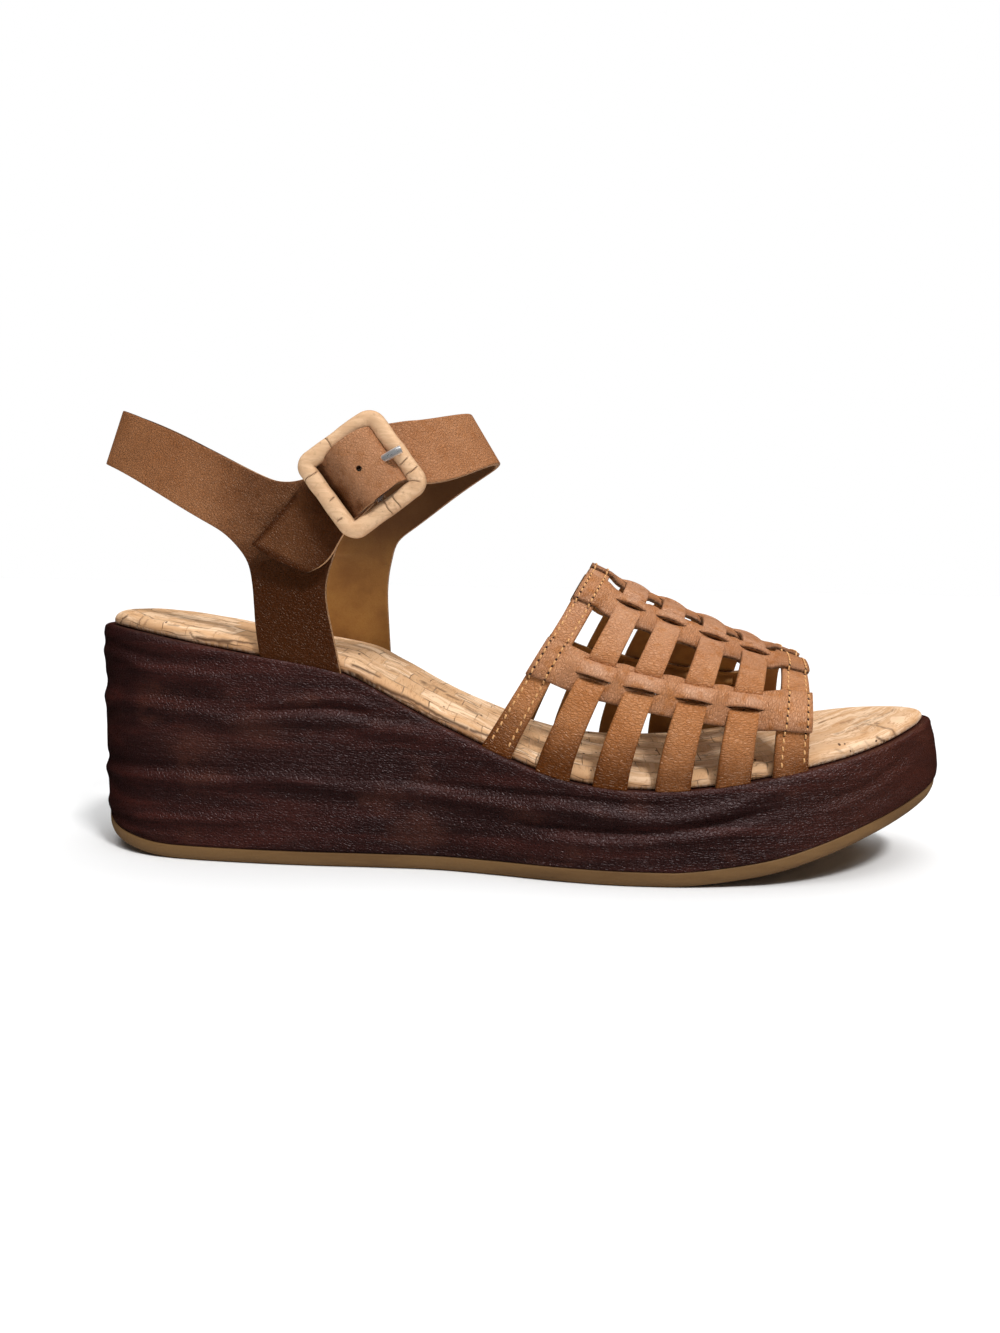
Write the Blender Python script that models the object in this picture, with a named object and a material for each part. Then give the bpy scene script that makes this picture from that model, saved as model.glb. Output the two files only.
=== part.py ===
"""Right-foot platform sandal with a woven vamp and a buckled ankle strap.

Tables are in millimetres. x runs from the back of the heel to the toe, y to the
wearer's left (negative y is the outer side), z up from the ground.
"""
import math

import bmesh
import bpy
import numpy as np

MM = 0.001
X_MID = 129.3
Y_MID = 1.2
GAP = 0.3

OUTSOLE_THICK = 4.2
STRAP_THICK = 1.9
STRAP_INSET = 1.4
FOOTBED_INSET = 2.8

# Material of each piece: colour, roughness, metallic.
LOOKS = {
    "outsole": ("tan_rubber", (0.30, 0.18, 0.085), 0.75, 0.0),
    "wedge": ("dark_leather", (0.045, 0.017, 0.014), 0.48, 0.0),
    "footbed": ("cork", (0.62, 0.42, 0.24), 0.80, 0.0),
    "vamp": ("vamp_leather", (0.38, 0.17, 0.075), 0.50, 0.0),
    "ankle_piece": ("ankle_leather", (0.25, 0.10, 0.04), 0.50, 0.0),
    "buckle_frame": ("buckle_cork", (0.56, 0.37, 0.22), 0.75, 0.0),
    "buckle_bar": ("bar_steel", (0.60, 0.60, 0.60), 0.30, 1.0),
    "prong": ("prong_steel", (0.70, 0.70, 0.70), 0.22, 1.0),
}

# Plan of the sole between its two end points: x, outer edge, inner edge.
HEEL_POINT = (4.0, -0.3)
TOE_POINT = (255.5, 10.5)
OUTLINE = [
    (6.2, -11.3, 10.8),
    (12.1, -19.8, 19.3),
    (22.2, -26.0, 25.3),
    (36.0, -29.3, 28.5),
    (54.0, -30.9, 29.6),
    (72.0, -31.4, 29.4),
    (90.0, -31.0, 28.6),
    (108.0, -31.2, 29.0),
    (124.0, -33.9, 31.8),
    (140.0, -37.5, 36.4),
    (156.0, -39.6, 40.2),
    (172.0, -39.5, 42.0),
    (188.0, -37.8, 42.2),
    (204.0, -34.8, 41.4),
    (219.0, -29.8, 39.2),
    (232.0, -22.6, 35.6),
    (243.0, -13.0, 30.2),
    (251.0, -2.2, 22.2),
]

# Heights along the sole: x, ground line of the outsole, top edge of the wedge, cork thickness.
PROFILE = [
    (3.0, 7.6, 65.6, 3.2),
    (8.0, 4.2, 65.5, 3.2),
    (14.0, 1.7, 65.2, 3.2),
    (24.0, 0.0, 63.9, 3.2),
    (40.0, 0.0, 61.2, 3.4),
    (54.0, 0.0, 58.9, 3.6),
    (68.0, 0.0, 57.0, 3.9),
    (81.0, 0.0, 54.2, 4.2),
    (90.0, 0.0, 50.0, 4.3),
    (106.0, 0.0, 41.6, 4.2),
    (123.0, 0.0, 34.3, 4.1),
    (134.0, 0.0, 30.1, 4.0),
    (144.0, 0.0, 27.4, 4.0),
    (158.0, 0.0, 25.9, 4.0),
    (172.0, 0.0, 26.0, 4.0),
    (186.0, 1.4, 27.5, 3.7),
    (200.0, 3.8, 30.1, 3.4),
    (214.0, 7.9, 33.0, 3.4),
    (228.0, 12.7, 36.2, 3.5),
    (242.0, 17.2, 39.4, 3.0),
    (255.5, 21.2, 42.0, 2.4),
]

# Side wall of the wedge: height share, outset.
WALL = [(0.0, -0.9), (0.15, -0.4), (0.5, -0.1), (0.8, 0.0)]
# Round the toe the wall leans back toward its top and swells toward its base.
TOE_LEAN, TOE_BELLY = 2.4, 0.6

# Vamp bands that stand up from the sole: share of the way from collar edge to toe edge.
BANDS = [
    (0.000, 0.092),
    (0.170, 0.275),
    (0.345, 0.450),
    (0.533, 0.640),
    (0.715, 0.822),
    (0.890, 1.000),
]

# Lengthwise straps on one side, as shares of the arch from sole to crest: lower and upper edge
# at the collar, lower and upper edge at the toe, rise of both edges midway.
ROWS = [
    (0.305, 0.464, 0.185, 0.410, 0.040, 0.011),
    (0.655, 0.820, 0.590, 0.777, 0.000, 0.000),
    (0.928, 1.000, 0.905, 1.000, 0.000, 0.000),
]

# Collar and toe edges of the vamp: outer foot x, inner foot x, crest x, y and z, late lean.
COLLAR = (120.0, 123.0, 149.0, 4.0, 84.2, 1.0)
TOE_BAND = (207.0, 213.0, 211.0, 6.5, 58.4, 2.2)
CREST_SAG = 0.8
ARCH_POWER = {"outer": 2.25, "inner": 2.5}

# Buckle: place, lean of the strap through it, sizes.
BUCKLE_X, BUCKLE_Z = 87.6, 107.5
BUCKLE_LEAN = math.radians(37.0)
FRAME_HALF = 11.05
FRAME_BAR = (4.7, 4.6)
FRAME_CORNER = 3.6
FRAME_OUT = (34.9, -0.076)
BAR_OUT, BAR_RADIUS = 32.5, 1.4
PRONG_RADIUS = 0.8
PRONG_RUN = [(2.4, 35.2), (5.2, 36.0), (8.2, 37.2), (11.0, 37.5), (13.4, 37.1)]

# Ankle piece, centre line on the way from the tab round the heel to the front: x, y, z, half width.
HEEL_RUN = [
    (76.5, -29.3, 99.6, 8.6),
    (69.0, -29.2, 97.0, 9.0),
    (61.0, -28.8, 97.0, 9.3),
    (52.5, -27.8, 100.2, 9.3),
    (41.0, -25.4, 105.9, 9.2),
    (28.5, -21.5, 112.0, 8.7),
    (17.0, -15.0, 117.0, 8.3),
    (9.3, -7.5, 119.8, 8.3),
    (6.8, 0.0, 120.4, 8.3),
    (9.3, 7.5, 119.8, 8.3),
    (17.0, 14.6, 116.5, 8.3),
    (28.5, 21.0, 110.4, 8.3),
    (41.0, 25.0, 103.8, 8.5),
    (53.0, 27.4, 98.8, 8.7),
    (64.0, 28.5, 96.4, 8.8),
    (73.0, 29.0, 96.6, 8.7),
    (82.0, 29.0, 99.9, 8.6),
    (92.0, 27.4, 106.6, 8.4),
    (102.0, 22.6, 113.4, 8.3),
    (110.5, 14.5, 118.2, 8.3),
    (115.6, 7.0, 120.6, 8.3),
    (116.8, 0.0, 121.2, 8.3),
    (115.6, -7.0, 120.4, 8.3),
    (112.0, -14.0, 118.4, 8.6),
    (107.3, -20.6, 116.1, 8.9),
    (102.3, -25.6, 114.5, 8.9),
]
# Strap through the buckle: place along the strap, distance out from the foot, shift across.
BUCKLE_RUN = [
    (11.4, 29.3, -0.9),
    (8.6, 30.6, -0.2),
    (5.4, 34.6, 0.0),
    (2.5, 37.5, 0.0),
    (0.0, 37.9, 0.0),
    (-2.5, 37.3, 0.0),
    (-5.0, 35.5, 0.0),
    (-7.2, 33.2, 0.0),
    (-9.2, 32.1, 0.0),
    (-11.4, 31.8, 0.0),
]
# Strap tip lying on the outer side leg: x, y, z, half width.
TIP_RUN = [
    (74.2, -31.7, 95.4, 8.2),
    (69.0, -31.7, 90.2, 8.3),
    (65.4, -31.7, 86.3, 8.4),
    (63.3, -31.7, 84.0, 7.2),
]
LACE_LINES = (-1.0, -0.64, -0.27, 0.27, 0.64, 1.0)
SLOT_ROW = 2
HALF_TAB = 6.6
HALF_IN_BUCKLE = 8.1

# Side legs down to the sole: back x, back z, front x, front z.
OUTER_LEG = [
    (54.0, 86.0, 78.9, 85.9),
    (55.6, 82.0, 77.2, 81.5),
    (56.4, 76.5, 76.5, 76.5),
    (56.8, 71.0, 77.2, 71.0),
    (57.3, 65.0, 78.9, 64.0),
]
INNER_LEG = [
    (59.5, 87.0, 85.0, 87.0),
    (61.8, 82.0, 83.9, 82.0),
    (62.8, 76.5, 83.5, 76.5),
    (63.2, 71.0, 83.7, 71.0),
    (63.5, 64.5, 84.2, 64.0),
]
OUTER_FOOT = (58.6, 81.0)
INNER_FOOT = (64.6, 85.0)


def smooth_path(rows, per_span, closed=False):
    """Catmull-Rom curve through table rows, with per_span points to each step."""
    rows = np.asarray(rows, float)
    count = len(rows)
    spans = count if closed else count - 1
    points = []
    for i in range(spans):
        if closed:
            a, b, c, d = (rows[(i + k) % count] for k in (-1, 0, 1, 2))
        else:
            b, c = rows[i], rows[i + 1]
            a = rows[i - 1] if i else 2 * b - c
            d = rows[i + 2] if i + 2 < count else 2 * c - b
        for t in np.arange(per_span) / per_span:
            bend = (2 * a - 5 * b + 4 * c - d) * t ** 2 + (3 * b - a - 3 * c + d) * t ** 3
            points.append(b + 0.5 * ((c - a) * t + bend))
    if not closed:
        points.append(rows[-1])
    return np.array(points)


PROFILE_FINE = smooth_path(PROFILE, 6)


def ground_z(x):
    z = np.interp(x, PROFILE_FINE[:, 0], PROFILE_FINE[:, 1])
    return np.where(z < 0.05, 0.0, z)


def wedge_z(x):
    return np.interp(x, PROFILE_FINE[:, 0], PROFILE_FINE[:, 2])


def cork_thick(x):
    return np.interp(x, PROFILE_FINE[:, 0], PROFILE_FINE[:, 3])


def toe_share(x):
    """0 along the sides, rising to 1 at the tip of the toe."""
    t = np.clip((np.asarray(x) - 216.0) / 36.0, 0.0, 1.0)
    return t * t * (3 - 2 * t)


def sole_outline(per_span):
    """Closed plan loop from the heel along the outer side to the toe and back."""
    outer = [(x, low) for x, low, _ in OUTLINE]
    inner = [(x, high) for x, _, high in reversed(OUTLINE)]
    return smooth_path([HEEL_POINT, *outer, TOE_POINT, *inner], per_span, closed=True)


def grown(loop, outset):
    """Plan loop moved outward by outset, a number or one value per point."""
    along = np.roll(loop, -1, axis=0) - np.roll(loop, 1, axis=0)
    along /= np.linalg.norm(along, axis=1)[:, None]
    outward = np.stack([along[:, 1], -along[:, 0]], axis=1)
    return loop + outward * np.broadcast_to(outset, len(loop))[:, None]


def ring(loop, outset, height):
    flat = grown(loop, outset)
    return np.column_stack([flat, height(flat[:, 0])])


def drawn_in(loop_ring, share, drop):
    """Ring drawn toward the middle line by a share of its width, and lowered."""
    count = len(loop_ring)
    facing = loop_ring[(-np.arange(count)) % count]
    moved = loop_ring + (facing - loop_ring) * share
    moved[:, 2] -= drop
    return moved


def add_empty(name, place, lean=0.0, parent=None):
    """Empty that carries pieces, at a place in millimetres, leaned about the y axis."""
    empty = bpy.data.objects.new(name, None)
    empty.empty_display_size = 0.02
    empty.location = np.asarray(place, float) * MM
    empty.rotation_euler = (0.0, -lean, 0.0)
    empty.parent = parent
    bpy.context.scene.collection.objects.link(empty)
    return empty


def add_material(name):
    label, colour, roughness, metallic = LOOKS[name]
    material = bpy.data.materials.new(label)
    material.use_nodes = True
    shader = material.node_tree.nodes["Principled BSDF"]
    shader.inputs["Base Color"].default_value = (*colour, 1.0)
    shader.inputs["Roughness"].default_value = roughness
    shader.inputs["Metallic"].default_value = metallic
    material.diffuse_color = (*colour, 1.0)
    return material


def add_object(name, verts, faces, parent):
    """Mesh object with its own material, its points in millimetres from its parent."""
    mesh = bpy.data.meshes.new(name)
    mesh.from_pydata((np.asarray(verts, float) * MM).tolist(), [], faces)
    tool = bmesh.new()
    tool.from_mesh(mesh)
    bmesh.ops.recalc_face_normals(tool, faces=tool.faces)
    tool.to_mesh(mesh)
    tool.free()
    mesh.shade_smooth()
    mesh.set_sharp_from_angle(angle=math.radians(40.0))
    mesh.materials.append(add_material(name))
    shape = bpy.data.objects.new(name, mesh)
    shape.parent = parent
    bpy.context.scene.collection.objects.link(shape)
    return shape


def stack_solid(name, rings, parent):
    """Closed solid from rings of equal length, capped by strips across both ends."""
    count = len(rings[0])
    half = count // 2
    faces = []
    for level in range(len(rings) - 1):
        low, high = level * count, (level + 1) * count
        for i in range(count):
            j = (i + 1) % count
            faces.append((low + i, low + j, high + j, high + i))
    for base in (0, (len(rings) - 1) * count):
        for i in range(half):
            near = [base + i, base + i + 1]
            far = [base + (count - i - 1) % count, base + (count - i) % count]
            corners = list(dict.fromkeys(near + far))
            faces.append(tuple(corners))
    return add_object(name, np.concatenate(rings), faces, parent)


def sheet_solid(name, verts, faces, thick, parent):
    """Sheet of leather given as a middle surface, thickened evenly to both sides."""
    used = sorted({v for face in faces for v in face})
    new_index = {old: new for new, old in enumerate(used)}
    renumbered = [tuple(new_index[v] for v in face) for face in faces]
    shape = add_object(name, np.asarray(verts)[used], renumbered, parent)
    wall = shape.modifiers.new("wall", "SOLIDIFY")
    wall.thickness = thick * MM
    wall.offset = 0.0
    wall.use_even_offset = True
    wall.use_rim = True
    return shape


def tube_solid(name, path, side, sizes, steps, parent, closed=False, power=2.0):
    """Bar of rounded section swept along a path; side points across the bar at each place."""
    path = np.asarray(path, float)
    if closed:
        along = np.roll(path, -1, axis=0) - np.roll(path, 1, axis=0)
    else:
        along = np.gradient(path, axis=0)
    along /= np.linalg.norm(along, axis=1)[:, None]
    side = np.broadcast_to(side, path.shape)
    side = side - along * np.sum(side * along, axis=1)[:, None]
    side /= np.linalg.norm(side, axis=1)[:, None]
    other = np.cross(along, side)
    verts = []
    for k in range(steps):
        turn = 2 * math.pi * k / steps
        c, s = math.cos(turn), math.sin(turn)
        a = math.copysign(abs(c) ** (2 / power), c) * sizes[0] / 2
        b = math.copysign(abs(s) ** (2 / power), s) * sizes[1] / 2
        verts.append(path + side * a + other * b)
    count = len(path)
    faces = []
    for k in range(steps):
        n = (k + 1) % steps
        for i in range(count if closed else count - 1):
            j = (i + 1) % count
            faces.append((k * count + i, k * count + j, n * count + j, n * count + i))
    if not closed:
        faces.append(tuple(k * count for k in range(steps)))
        faces.append(tuple(k * count + count - 1 for k in range(steps)))
    return add_object(name, np.concatenate(verts), faces, parent)


# Sole

def build_sole(shoe):
    loop = sole_outline(2)
    low_edge = [
        ring(loop, -2.0, ground_z),
        ring(loop, -1.1, lambda x: ground_z(x) + 0.6),
        ring(loop, -0.7, lambda x: ground_z(x) + 1.7),
        ring(loop, -0.7, lambda x: ground_z(x) + OUTSOLE_THICK),
    ]
    stack_solid("outsole", low_edge, shoe)

    base = OUTSOLE_THICK + GAP
    toe = toe_share(loop[:, 0])
    rim_in = 1.0 + 0.2 * toe
    rim_down = 1.2 + 0.6 * toe
    walls = []
    for share, outset in WALL:
        def height(x, share=share):
            low = ground_z(x) + base
            return low + (wedge_z(x) - rim_down - low) * share
        lean = TOE_LEAN * share ** 1.6 - TOE_BELLY * (1 - share)
        walls.append(ring(loop, outset - lean * toe, height))
    for turn in np.radians([0.0, 35.0, 65.0, 90.0]):
        lift = rim_down * (1 - math.sin(turn))
        inward = rim_in * (1 - math.cos(turn))
        walls.append(ring(loop, -inward - TOE_LEAN * toe, lambda x, lift=lift: wedge_z(x) - lift))
    stack_solid("wedge", walls, shoe)

    inset = FOOTBED_INSET + 2.2 * toe

    def cork(outset, share):
        return ring(loop, outset - inset, lambda x: wedge_z(x) + GAP + cork_thick(x) * share)

    rim = cork(-1.3, 1.0)
    cork_rings = [
        cork(-0.5, 0.0),
        cork(0.0, 0.25),
        cork(0.0, 0.62),
        cork(-0.35, 0.88),
        rim,
        drawn_in(rim, 0.10, 0.9),
        drawn_in(rim, 0.30, 1.5),
    ]
    stack_solid("footbed", cork_rings, shoe)


# Woven vamp

def foot_of_strap(loop, x, outer):
    """Middle of a strap where it enters the sole: a point on the inset outline at x."""
    flat = grown(loop, -STRAP_INSET)
    half = len(flat) // 2
    edge = flat[: half + 1] if outer else flat[half:][::-1]
    order = np.argsort(edge[:, 0])
    y = np.interp(x, edge[order, 0], edge[order, 1])
    return np.array([x, y, float(wedge_z(x)) + GAP])


def vamp_arch(loop, share):
    """Outer and inner half arches at a share of the way to the toe, both from sole to crest."""
    ends = np.array(COLLAR) + (np.array(TOE_BAND) - np.array(COLLAR)) * share
    crest = np.array([ends[2], ends[3], ends[4] - CREST_SAG * 4 * share * (1 - share)])
    turn = np.linspace(0.0, math.pi / 2, 49)[:, None]
    halves = []
    for outer, x in ((True, ends[0]), (False, ends[1])):
        foot = foot_of_strap(loop, x, outer)
        power = ARCH_POWER["outer" if outer else "inner"]
        middle = np.array([foot[0], crest[1], foot[2]])
        reach = np.cos(turn).clip(0) ** (2 / power)
        rise = np.sin(turn) ** (2 / power)
        lift = np.hstack([rise ** ends[5], rise, rise])
        halves.append(middle + (foot - middle) * reach + (crest - middle) * lift)
    return halves


def on_arch(half, part):
    steps = np.linalg.norm(np.diff(half, axis=0), axis=1)
    run = np.concatenate([[0.0], np.cumsum(steps)])
    return np.array([np.interp(part * run[-1], run, half[:, k]) for k in range(3)])


def split_lines(edges, solid_steps, open_steps):
    """Grid lines between edge pairs: (line, whether the cell after it is solid)."""
    lines = []
    for i, (low, high) in enumerate(edges):
        lines += [(low + (high - low) * k / solid_steps, True) for k in range(solid_steps)]
        if i + 1 < len(edges):
            nxt = edges[i + 1][0]
            lines += [(high + (nxt - high) * k / open_steps, False) for k in range(open_steps)]
    lines.append((edges[-1][1], False))
    return lines


def arch_lines(share):
    """Shares up one half arch with the straps' edges, and whether each cell is strap."""
    bow = 4 * share * (1 - share)
    rows = [(a + (c - a) * share + e * bow, b + (d - b) * share + f * bow) for a, b, c, d, e, f in ROWS]
    lines = [(rows[0][0] * k / 4, False) for k in range(4)]
    return lines + split_lines(rows, 2, 3)


def build_vamp(shoe):
    loop = sole_outline(6)
    columns = split_lines(BANDS, 2, 2)
    verts = []
    solid_rows = None
    for share, _ in columns:
        outer, inner = vamp_arch(loop, share)
        lines = arch_lines(share)
        up = [on_arch(outer, part) for part, _ in lines]
        down = [on_arch(inner, part) for part, _ in lines[-2::-1]]
        verts += up + down
        flags = [solid for _, solid in lines[:-1]]
        solid_rows = flags + flags[::-1]
    per_column = len(solid_rows) + 1
    faces = []
    for i in range(len(columns) - 1):
        for j, row_solid in enumerate(solid_rows):
            if columns[i][1] or row_solid:
                a = i * per_column + j
                faces.append((a, a + per_column, a + per_column + 1, a + 1))
    sheet_solid("vamp", verts, faces, STRAP_THICK, shoe)


# Ankle piece and buckle

def at_buckle(along, out, across=0.0):
    c, s = math.cos(BUCKLE_LEAN), math.sin(BUCKLE_LEAN)
    return np.array([BUCKLE_X + c * along - s * across, -out, BUCKLE_Z + s * along + c * across])


def ankle_rows():
    """Centre line rows from the folded tab round the ankle to the strap tip."""
    rows = []
    for along, out in ((-5.6, 32.3), (-3.2, 34.0)):
        rows.append((*at_buckle(along, out), HALF_TAB))
    loop_radius = BAR_RADIUS + GAP + STRAP_THICK / 2
    for turn in np.radians([90, 45, 0, -45, -90]):
        along, out = loop_radius * math.cos(turn), BAR_OUT + loop_radius * math.sin(turn)
        rows.append((*at_buckle(along, out), HALF_TAB))
    rows.append((*at_buckle(-4.5, 29.5), 7.4))
    start_of_arm = len(rows)
    rows += HEEL_RUN
    start_of_buckle = len(rows)
    rows += [(*at_buckle(*row), HALF_IN_BUCKLE) for row in BUCKLE_RUN]
    rows += TIP_RUN
    return rows, start_of_arm, start_of_buckle


def build_ankle(shoe):
    rows, arm, buckle = ankle_rows()
    per_span = 2
    line = smooth_path(rows, per_span)
    centre, half = line[:, :3], line[:, 3]
    along = np.gradient(centre, axis=0)
    along /= np.linalg.norm(along, axis=1)[:, None]
    lean = np.interp(centre[:, 0], [6.8, 60.0, 116.8], [0.36, 0.0, -0.62])
    up = np.column_stack([lean, np.zeros(len(lean)), np.ones(len(lean))])
    tab_like = np.zeros(len(line), bool)
    tab_like[: arm * per_span] = True
    tab_like[buckle * per_span: (buckle + len(BUCKLE_RUN)) * per_span] = True
    up[tab_like] = at_buckle(0, 0, 1) - at_buckle(0, 0, 0)
    width = up - along * np.sum(up * along, axis=1)[:, None]
    width /= np.linalg.norm(width, axis=1)[:, None]

    across = len(LACE_LINES)
    verts = []
    for point, wide, direction in zip(centre, half, width):
        verts += [point + direction * wide * share for share in LACE_LINES]
    tab_slot = range(1, (arm - 1) * per_span)
    hole_from = (buckle + 1) * per_span
    prong_hole = range(hole_from, hole_from + 4)
    faces = []
    for i in range(len(line) - 1):
        for j in range(across - 1):
            if j == SLOT_ROW and (i in tab_slot or i in prong_hole):
                continue
            a = i * across + j
            faces.append((a, a + across, a + across + 1, a + 1))

    loop = sole_outline(6)
    legs = (
        (OUTER_LEG, OUTER_FOOT, True, range(arm * per_span, (arm + 3) * per_span + 1)),
        (INNER_LEG, INNER_FOOT, False, range((arm + 13) * per_span, (arm + 16) * per_span + 1)),
    )
    for table, foot, outer, columns in legs:
        columns = list(columns)
        if verts[columns[0] * across][0] > verts[columns[-1] * across][0]:
            columns.reverse()
        top = [i * across for i in columns]
        share = np.linspace(0.0, 1.0, len(top))
        floor = [foot_of_strap(loop, foot[0] + (foot[1] - foot[0]) * t, outer) for t in share]
        last = top
        for k, (back_x, back_z, front_x, front_z) in enumerate(table):
            drop = (k + 1) / (len(table) + 1)
            new = []
            for t, above, below in zip(share, top, floor):
                x = back_x + (front_x - back_x) * t
                z = back_z + (front_z - back_z) * t
                y = verts[above][1] + (below[1] - verts[above][1]) * drop
                new.append(len(verts))
                verts.append(np.array([x, y, z]))
            faces += [(last[i], last[i + 1], new[i + 1], new[i]) for i in range(len(new) - 1)]
            last = new
        new = list(range(len(verts), len(verts) + len(floor)))
        verts += floor
        faces += [(last[i], last[i + 1], new[i + 1], new[i]) for i in range(len(new) - 1)]
    sheet_solid("ankle_piece", verts, faces, STRAP_THICK, shoe)


def build_buckle(shoe):
    """Frame, bar and prong, measured from the bar: x along the strap, y out of the foot, z across."""
    pivot = add_empty("buckle_pivot", at_buckle(0.0, BAR_OUT), BUCKLE_LEAN, shoe)
    straight = FRAME_HALF - FRAME_CORNER
    path = []
    for quarter in range(4):
        for turn in np.radians(np.linspace(0, 90, 5)) + quarter * math.pi / 2:
            corner = (math.pi / 4) + quarter * math.pi / 2
            middle = straight * math.sqrt(2) * np.array([math.cos(corner), math.sin(corner)])
            along, across = middle + FRAME_CORNER * np.array([math.cos(turn), math.sin(turn)])
            path.append((along, BAR_OUT - FRAME_OUT[0] - FRAME_OUT[1] * along, across))
    out_of_foot = (0.0, 1.0, 0.0)
    sizes = FRAME_BAR[::-1]
    tube_solid("buckle_frame", path, out_of_foot, sizes, 14, pivot, closed=True, power=2.5)

    reach = FRAME_HALF - FRAME_BAR[0] / 2 - 0.2
    bar = [(0.0, 0.0, across) for across in np.linspace(-reach, reach, 3)]
    tube_solid("buckle_bar", bar, out_of_foot, (2 * BAR_RADIUS, 2 * BAR_RADIUS), 14, pivot)

    hook = BAR_RADIUS + GAP + PRONG_RADIUS
    prong = []
    for turn in np.radians(np.linspace(-40, -265, 13)):
        prong.append((hook * math.cos(turn), BAR_OUT + hook * math.sin(turn)))
    prong += smooth_path(PRONG_RUN, 2).tolist()
    rod = [(along, BAR_OUT - out, 0.0) for along, out in prong]
    tube_solid("prong", rod, (0.0, 0.0, 1.0), (2 * PRONG_RADIUS, 2 * PRONG_RADIUS), 8, pivot)


def clear_scene():
    for item in list(bpy.data.objects):
        bpy.data.objects.remove(item, do_unlink=True)


clear_scene()
sandal = add_empty("sandal", (-X_MID, -Y_MID, 0.0))
build_sole(sandal)
build_vamp(sandal)
build_ankle(sandal)
build_buckle(sandal)
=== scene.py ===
"""Look of the right-foot platform sandal: woven vamp, ankle strap, cork and pressed wedge.

Tables are in millimetres. x runs from the back of the heel to the toe, y to the
wearer's left (negative y is the outer side), z up from the ground.
"""
import math

import bmesh
import bpy
import numpy as np
from mathutils import Matrix, Vector, noise


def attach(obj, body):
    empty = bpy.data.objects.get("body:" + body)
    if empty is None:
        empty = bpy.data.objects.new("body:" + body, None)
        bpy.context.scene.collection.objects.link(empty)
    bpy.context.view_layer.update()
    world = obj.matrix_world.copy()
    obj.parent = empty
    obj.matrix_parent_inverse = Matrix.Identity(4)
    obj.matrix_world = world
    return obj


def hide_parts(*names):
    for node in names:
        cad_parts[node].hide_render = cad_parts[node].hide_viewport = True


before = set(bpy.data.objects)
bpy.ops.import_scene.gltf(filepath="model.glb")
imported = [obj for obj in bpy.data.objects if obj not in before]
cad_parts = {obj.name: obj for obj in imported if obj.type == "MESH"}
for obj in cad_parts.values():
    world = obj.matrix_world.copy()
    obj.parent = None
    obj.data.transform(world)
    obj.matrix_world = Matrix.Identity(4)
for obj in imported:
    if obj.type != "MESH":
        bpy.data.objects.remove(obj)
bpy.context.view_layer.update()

MM = 0.001
X_MID = 129.3
Y_MID = 1.2

# Sole

OUTSOLE_THICK = 4.2
# How far the feet of the straps and the cork stand in from the outline, how deep the feet go.
STRAP_INSET, FOOTBED_INSET, STRAP_SINK = 1.4, 2.8, 0.2
# Gap between two layers of the sole.
SEAM = 0.05

# Plan of the sole between its two end points: x, outer edge, inner edge.
HEEL_POINT = (4.0, -0.3)
TOE_POINT = (255.5, 10.5)
OUTLINE = [
    (6.2, -11.3, 10.8),
    (12.1, -19.8, 19.3),
    (22.2, -26.0, 25.3),
    (36.0, -29.3, 28.5),
    (54.0, -30.9, 29.6),
    (72.0, -31.4, 29.4),
    (90.0, -31.0, 28.6),
    (108.0, -31.2, 29.0),
    (124.0, -33.9, 31.8),
    (140.0, -37.5, 36.4),
    (156.0, -39.6, 40.2),
    (172.0, -39.5, 42.0),
    (188.0, -37.8, 42.2),
    (204.0, -34.8, 41.4),
    (219.0, -29.8, 39.2),
    (232.0, -22.6, 35.6),
    (243.0, -13.0, 30.2),
    (251.0, -2.2, 22.2),
]

# Heights along the sole: x, ground line of the outsole, top edge of the wedge, cork thickness.
PROFILE = [
    (3.0, 8.4, 65.6, 3.2),
    (8.0, 5.0, 65.5, 3.2),
    (14.0, 2.5, 65.2, 3.2),
    (24.0, 0.6, 63.9, 3.2),
    (32.0, 0.0, 62.5, 3.3),
    (40.0, 0.0, 61.2, 3.4),
    (54.0, 0.0, 58.9, 3.6),
    (68.0, 0.0, 57.0, 3.9),
    (81.0, 0.0, 54.2, 4.2),
    (90.0, 0.0, 50.0, 4.3),
    (106.0, 0.0, 41.6, 4.2),
    (123.0, 0.0, 34.3, 4.1),
    (134.0, 0.0, 30.1, 4.0),
    (144.0, 0.0, 27.4, 4.0),
    (158.0, 0.0, 25.9, 4.0),
    (172.0, 0.0, 26.0, 4.0),
    (186.0, 1.4, 27.5, 3.7),
    (200.0, 3.8, 30.1, 3.4),
    (214.0, 7.9, 33.0, 3.4),
    (228.0, 12.7, 36.2, 3.5),
    (242.0, 17.2, 39.4, 3.0),
    (255.5, 21.2, 42.0, 2.4),
]
# Where the ground line is lower than this, it is flat.
FLAT_BELOW = 0.05
# Edge of the outsole from below to its top: outset, rise above the ground line.
OUTSOLE_EDGE = [
    (-6.0, 0.0), (-2.0, 0.0), (-1.5, 0.2), (-1.1, 0.6), (-0.85, 1.1),
    (-0.7, 1.7), (-0.65, 2.6), (-0.7, 3.6), (-0.8, 4.05), (-1.1, OUTSOLE_THICK),
]

# Side wall of the wedge: height share, outset.
WALL = [(0.0, -0.7), (0.15, -0.3), (0.5, -0.1), (0.8, 0.0), (1.0, 0.0)]
# Round the toe the wall leans back toward its top and swells toward its base.
TOE_LEAN, TOE_BELLY = 2.4, 0.6
# Rows of points up the wall, turns of its rounded top edge in degrees, unevenness of the cover.
WALL_ROWS = 84
RIM_TURNS = (12, 24, 36, 48, 60, 72, 82, 90)
WALL_WAVE = 0.22

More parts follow.
